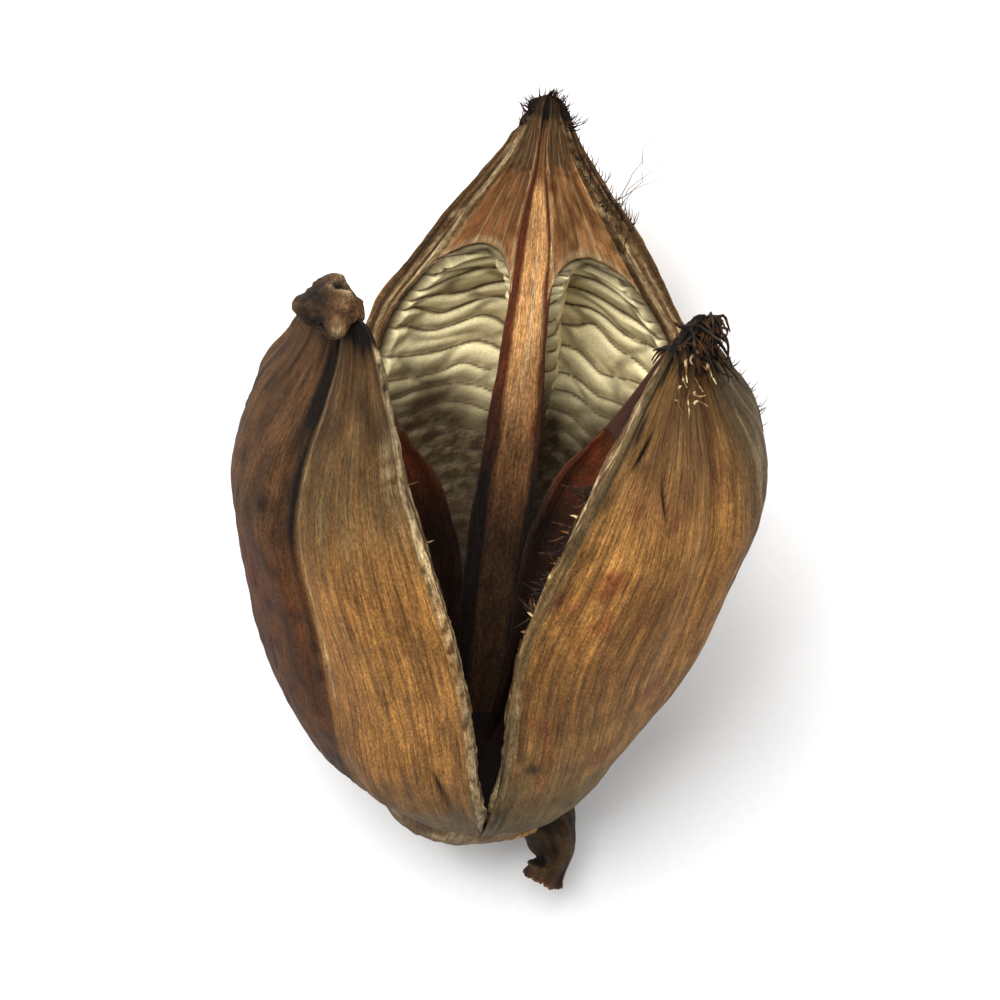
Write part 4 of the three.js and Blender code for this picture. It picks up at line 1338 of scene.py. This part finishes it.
class Tree(NodeMaker):
    """Geometry nodes that grow curling, tapering fibres from the faces of a patch."""

    INPUTS = {
        "Density": ("NodeSocketFloat", 1e6), "Length": ("NodeSocketFloat", 2 * MM),
        "Thickness": ("NodeSocketFloat", 0.1 * MM), "Curl": ("NodeSocketFloat", MM),
        "Lean": ("NodeSocketVector", (0, 0, 0)), "Seed": ("NodeSocketInt", 0),
        "Finish": ("NodeSocketMaterial", None),
    }

    def __init__(self, name):
        group = bpy.data.node_groups.new(name, "GeometryNodeTree")
        super().__init__(group)
        group.interface.new_socket("Patch", in_out="INPUT", socket_type="NodeSocketGeometry")
        for key, (kind, value) in self.INPUTS.items():
            socket = group.interface.new_socket(key, in_out="INPUT", socket_type=kind)
            if value is not None:
                socket.default_value = value
        group.interface.new_socket("Fibres", in_out="OUTPUT", socket_type="NodeSocketGeometry")
        given = group.nodes.new("NodeGroupInput")
        self.given = {socket.name: Socket(self, socket) for socket in given.outputs if socket.name}
        self.group = group

    def scaled(self, vector, amount):
        """A vector times a number."""
        return self.node("ShaderNodeVectorMath", {"operation": "SCALE"}, {0: vector, "Scale": amount})

    def grow(self):
        """Scatter bare lines, bend them, give them thickness and a finish."""
        given = self.given
        spread = {"Mesh": given["Patch"], "Density": given["Density"], "Seed": given["Seed"]}
        points = self.node("GeometryNodeDistributePointsOnFaces", {}, spread)
        upright = Socket(self, points.output.node.outputs["Rotation"])
        line = self.node("GeometryNodeCurvePrimitiveLine", {}, {"Start": (0, 0, 0), "End": (0, 0, 1)})
        line = self.node("GeometryNodeResampleCurve", {}, {"Curve": line, "Count": FIBRE_POINTS})
        draw = {2: SHORTEST_FIBRE, 3: 1.0, "Seed": given["Seed"]}
        size = self.node("FunctionNodeRandomValue", {"data_type": "FLOAT"}, draw, 1) * given["Length"]
        placed = {"Points": points, "Instance": line, "Rotation": upright, "Scale": size}
        grown = self.node("GeometryNodeInstanceOnPoints", {}, placed)
        grown = self.node("GeometryNodeRealizeInstances", {}, {"Geometry": grown})
        factor = self.node("GeometryNodeSplineParameter", {}, {})
        place = self.node("GeometryNodeInputPosition", {}, {})
        wander = {"Vector": place, "Scale": CURL_SCALE, "Detail": 1.0}
        wander = self.node("ShaderNodeTexNoise", {}, wander, "Color")
        wander = self.node("ShaderNodeVectorMath", {"operation": "SUBTRACT"}, {0: wander, 1: (0.5, 0.5, 0.5)})
        wander = self.scaled(wander, factor * given["Curl"] * CURL_REACH)
        lean = self.scaled(given["Lean"], factor * factor)
        offset = self.node("ShaderNodeVectorMath", {"operation": "ADD"}, {0: wander, 1: lean})
        bent = self.node("GeometryNodeSetPosition", {}, {"Geometry": grown, "Offset": offset})
        ring = {"Resolution": FIBRE_SIDES, "Radius": given["Thickness"]}
        ring = self.node("GeometryNodeCurvePrimitiveCircle", {}, ring)
        tube = {"Curve": bent, "Profile Curve": ring, "Scale": 1.0 - factor * FIBRE_TAPER, "Fill Caps": True}
        tube = self.node("GeometryNodeCurveToMesh", {}, tube)
        plain = self.node("GeometryNodeRealizeInstances", {}, {"Geometry": tube})
        worn = self.node("GeometryNodeSetMaterial", {}, {"Geometry": plain, "Material": given["Finish"]})
        made = self.group.nodes.new("NodeGroupOutput")
        self.group.links.new(worn.output, made.inputs[0])
        return self.group


def patch_of(fringe, sizes):
    """The valve's surface under a fringe, as an open mesh."""
    (s, _, _), columns, _ = valve_grid(fringe.valve)
    grid = carved_grid(fringe.valve, sizes)
    rows = np.nonzero((s[:, 0] >= fringe.stations[0]) & (s[:, 0] <= fringe.stations[1] + TIP_REACH))[0]
    angle = np.degrees(columns["angle"])
    low, high = fringe.angles
    inner = (columns["zone"] == HOLLOW) & (columns["reach"] > INNER_REACH)
    allowed = inner if fringe.inner else columns["zone"] >= RIM
    kept = np.nonzero(allowed & (angle >= low) & (angle <= high))[0]
    count = grid.shape[1]
    faces = []
    for row in rows[:-1]:
        for column in kept:
            here = row * count + column
            beside = row * count + (column + 1) % count
            faces.append([here, beside, beside + count, here + count])
    mesh = bpy.data.meshes.new(f"{fringe.name}_patch")
    mesh.from_pydata((grid.reshape(-1, 3) * MM).tolist(), [], faces)
    return mesh


def build_fringe(fringe, group, finish, sizes):
    """Fibres grown from a patch, as one plain mesh."""
    patch = add_object(f"{fringe.name}_patch", patch_of(fringe, sizes))
    growth = patch.modifiers.new("growth", "NODES")
    growth.node_group = group
    sockets = {item.name: item.identifier for item in group.interface.items_tree if item.in_out == "INPUT"}
    values = {
        "Density": fringe.density * 1e4, "Length": fringe.length * MM, "Thickness": fringe.thickness * MM,
        "Curl": fringe.curl * MM, "Lean": [v * MM for v in fringe.lean], "Seed": fringe.seed,
        "Finish": finish,
    }
    for name, value in values.items():
        growth[sockets[name]] = value
    graph = bpy.context.evaluated_depsgraph_get()
    mesh = bpy.data.meshes.new_from_object(patch.evaluated_get(graph), depsgraph=graph)
    patch.modifiers.clear()
    bpy.data.objects.remove(patch)
    if not mesh.polygons:
        raise RuntimeError(f"{fringe.name} grew no fibres")
    mesh.name = fringe.name
    mesh.shade_smooth()
    return add_piece(fringe.name, mesh, finish, ())


class POD_OT_fibres(bpy.types.Operator):
    """Grow the frayed fibres of the tips and rims"""

    bl_idname = "pod.fibres"
    bl_label = "Frayed fibres"

    def execute(self, context):
        finishes = {
            DARK_FIBRE: material_named(DARK_FIBRE, dark_fibre_finish, context),
            PALE_FIBRE: material_named(PALE_FIBRE, pale_fibre_finish, context),
        }
        group = Tree("pod_fibres").grow()
        for fringe in FRINGES:
            build_fringe(fringe, group, finishes[fringe.finish], context.scene.pod_sizes)
        return {"FINISHED"}


# Stage
CAMERA_LEAN = math.radians(7.2)
CAMERA_DISTANCE = 0.7
CAMERA_LENS = 200
CAMERA_SENSOR = 36
CAMERA_TARGET = Vector((0, 0.001, 0.02))
FLOOR_SIZE = 3.0
LIGHT_TARGET = Vector((0, 0, 0.03))
WORLD_STRENGTH = 0.42

# Each light's name, place and size in metres, and power in watts.
LIGHTS = (
    ("key", (-0.22, 0.42, 0.82), 0.6, 12.0),
    ("fill", (0.6, -0.25, 0.6), 0.8, 1.5),
)


def add_light(name, place, size, power):
    """A square soft light that faces the pod."""
    lamp = bpy.data.lights.new(name, "AREA")
    lamp.size = size
    lamp.energy = power
    light = add_object(name, lamp)
    light.location = place
    light.rotation_euler = (LIGHT_TARGET - Vector(place)).to_track_quat("-Z", "Y").to_euler()


def add_camera():
    """The camera at the photograph's angle, nearly straight above and leaning to the tips' side."""
    camera = add_object("camera", bpy.data.cameras.new("camera"))
    camera.data.lens = CAMERA_LENS
    camera.data.sensor_width = CAMERA_SENSOR
    back = Vector((0, math.sin(CAMERA_LEAN), math.cos(CAMERA_LEAN)))
    camera.location = CAMERA_TARGET + back * CAMERA_DISTANCE
    camera.rotation_euler = (-CAMERA_LEAN, 0, 0)
    bpy.context.scene.camera = camera


class POD_OT_stage(bpy.types.Operator):
    """Make the pale floor, the soft lights and the camera"""

    bl_idname = "pod.stage"
    bl_label = "Stage"

    def execute(self, context):
        add_camera()
        mesh = bpy.data.meshes.new("floor")
        half = FLOOR_SIZE / 2
        corners = [(-half, -half, 0), (half, -half, 0), (half, half, 0), (-half, half, 0)]
        mesh.from_pydata(corners, [], [(0, 1, 2, 3)])
        mesh.materials.append(material_named("studio_floor", floor_finish, context))
        floor = add_object("floor", mesh)
        for light in LIGHTS:
            add_light(*light)
        world = bpy.data.worlds.new("studio")
        world.use_nodes = True
        background = world.node_tree.nodes["Background"]
        background.inputs["Color"].default_value = (1, 1, 1, 1)
        background.inputs["Strength"].default_value = WORLD_STRENGTH
        context.scene.world = world
        context.scene.view_settings.view_transform = "Standard"
        return {"FINISHED"}


# Panel and registration
class POD_PT_panel(bpy.types.Panel):
    """The pod's pieces, sizes and colours"""

    bl_idname = "POD_PT_panel"
    bl_label = "Dried sora pod"
    bl_space_type = "VIEW_3D"
    bl_region_type = "UI"
    bl_category = "Pod"

    def draw(self, context):
        for operator in OPERATORS:
            self.layout.operator(operator.bl_idname)
        for group in (context.scene.pod_sizes, context.scene.pod_colours):
            for name in group.__annotations__:
                self.layout.prop(group, name)


OPERATORS = (POD_OT_stage, POD_OT_valves, POD_OT_linings, POD_OT_base, POD_OT_fibres)
CLASSES = (PodSizes, PodColours, *OPERATORS, POD_PT_panel)


def register():
    """Register the classes and put the settings on the scene."""
    for item in CLASSES:
        bpy.utils.register_class(item)
    bpy.types.Scene.pod_sizes = PointerProperty(type=PodSizes)
    bpy.types.Scene.pod_colours = PointerProperty(type=PodColours)


def unregister():
    """Take the settings and classes away again."""
    del bpy.types.Scene.pod_colours
    del bpy.types.Scene.pod_sizes
    for item in reversed(CLASSES):
        bpy.utils.unregister_class(item)


def main():
    """Build everything in order."""
    register()
    bpy.ops.pod.stage()
    bpy.ops.pod.valves()
    bpy.ops.pod.linings()
    bpy.ops.pod.base()
    bpy.ops.pod.fibres()
    bpy.context.view_layer.update()


if __name__ == "__main__":
    main()
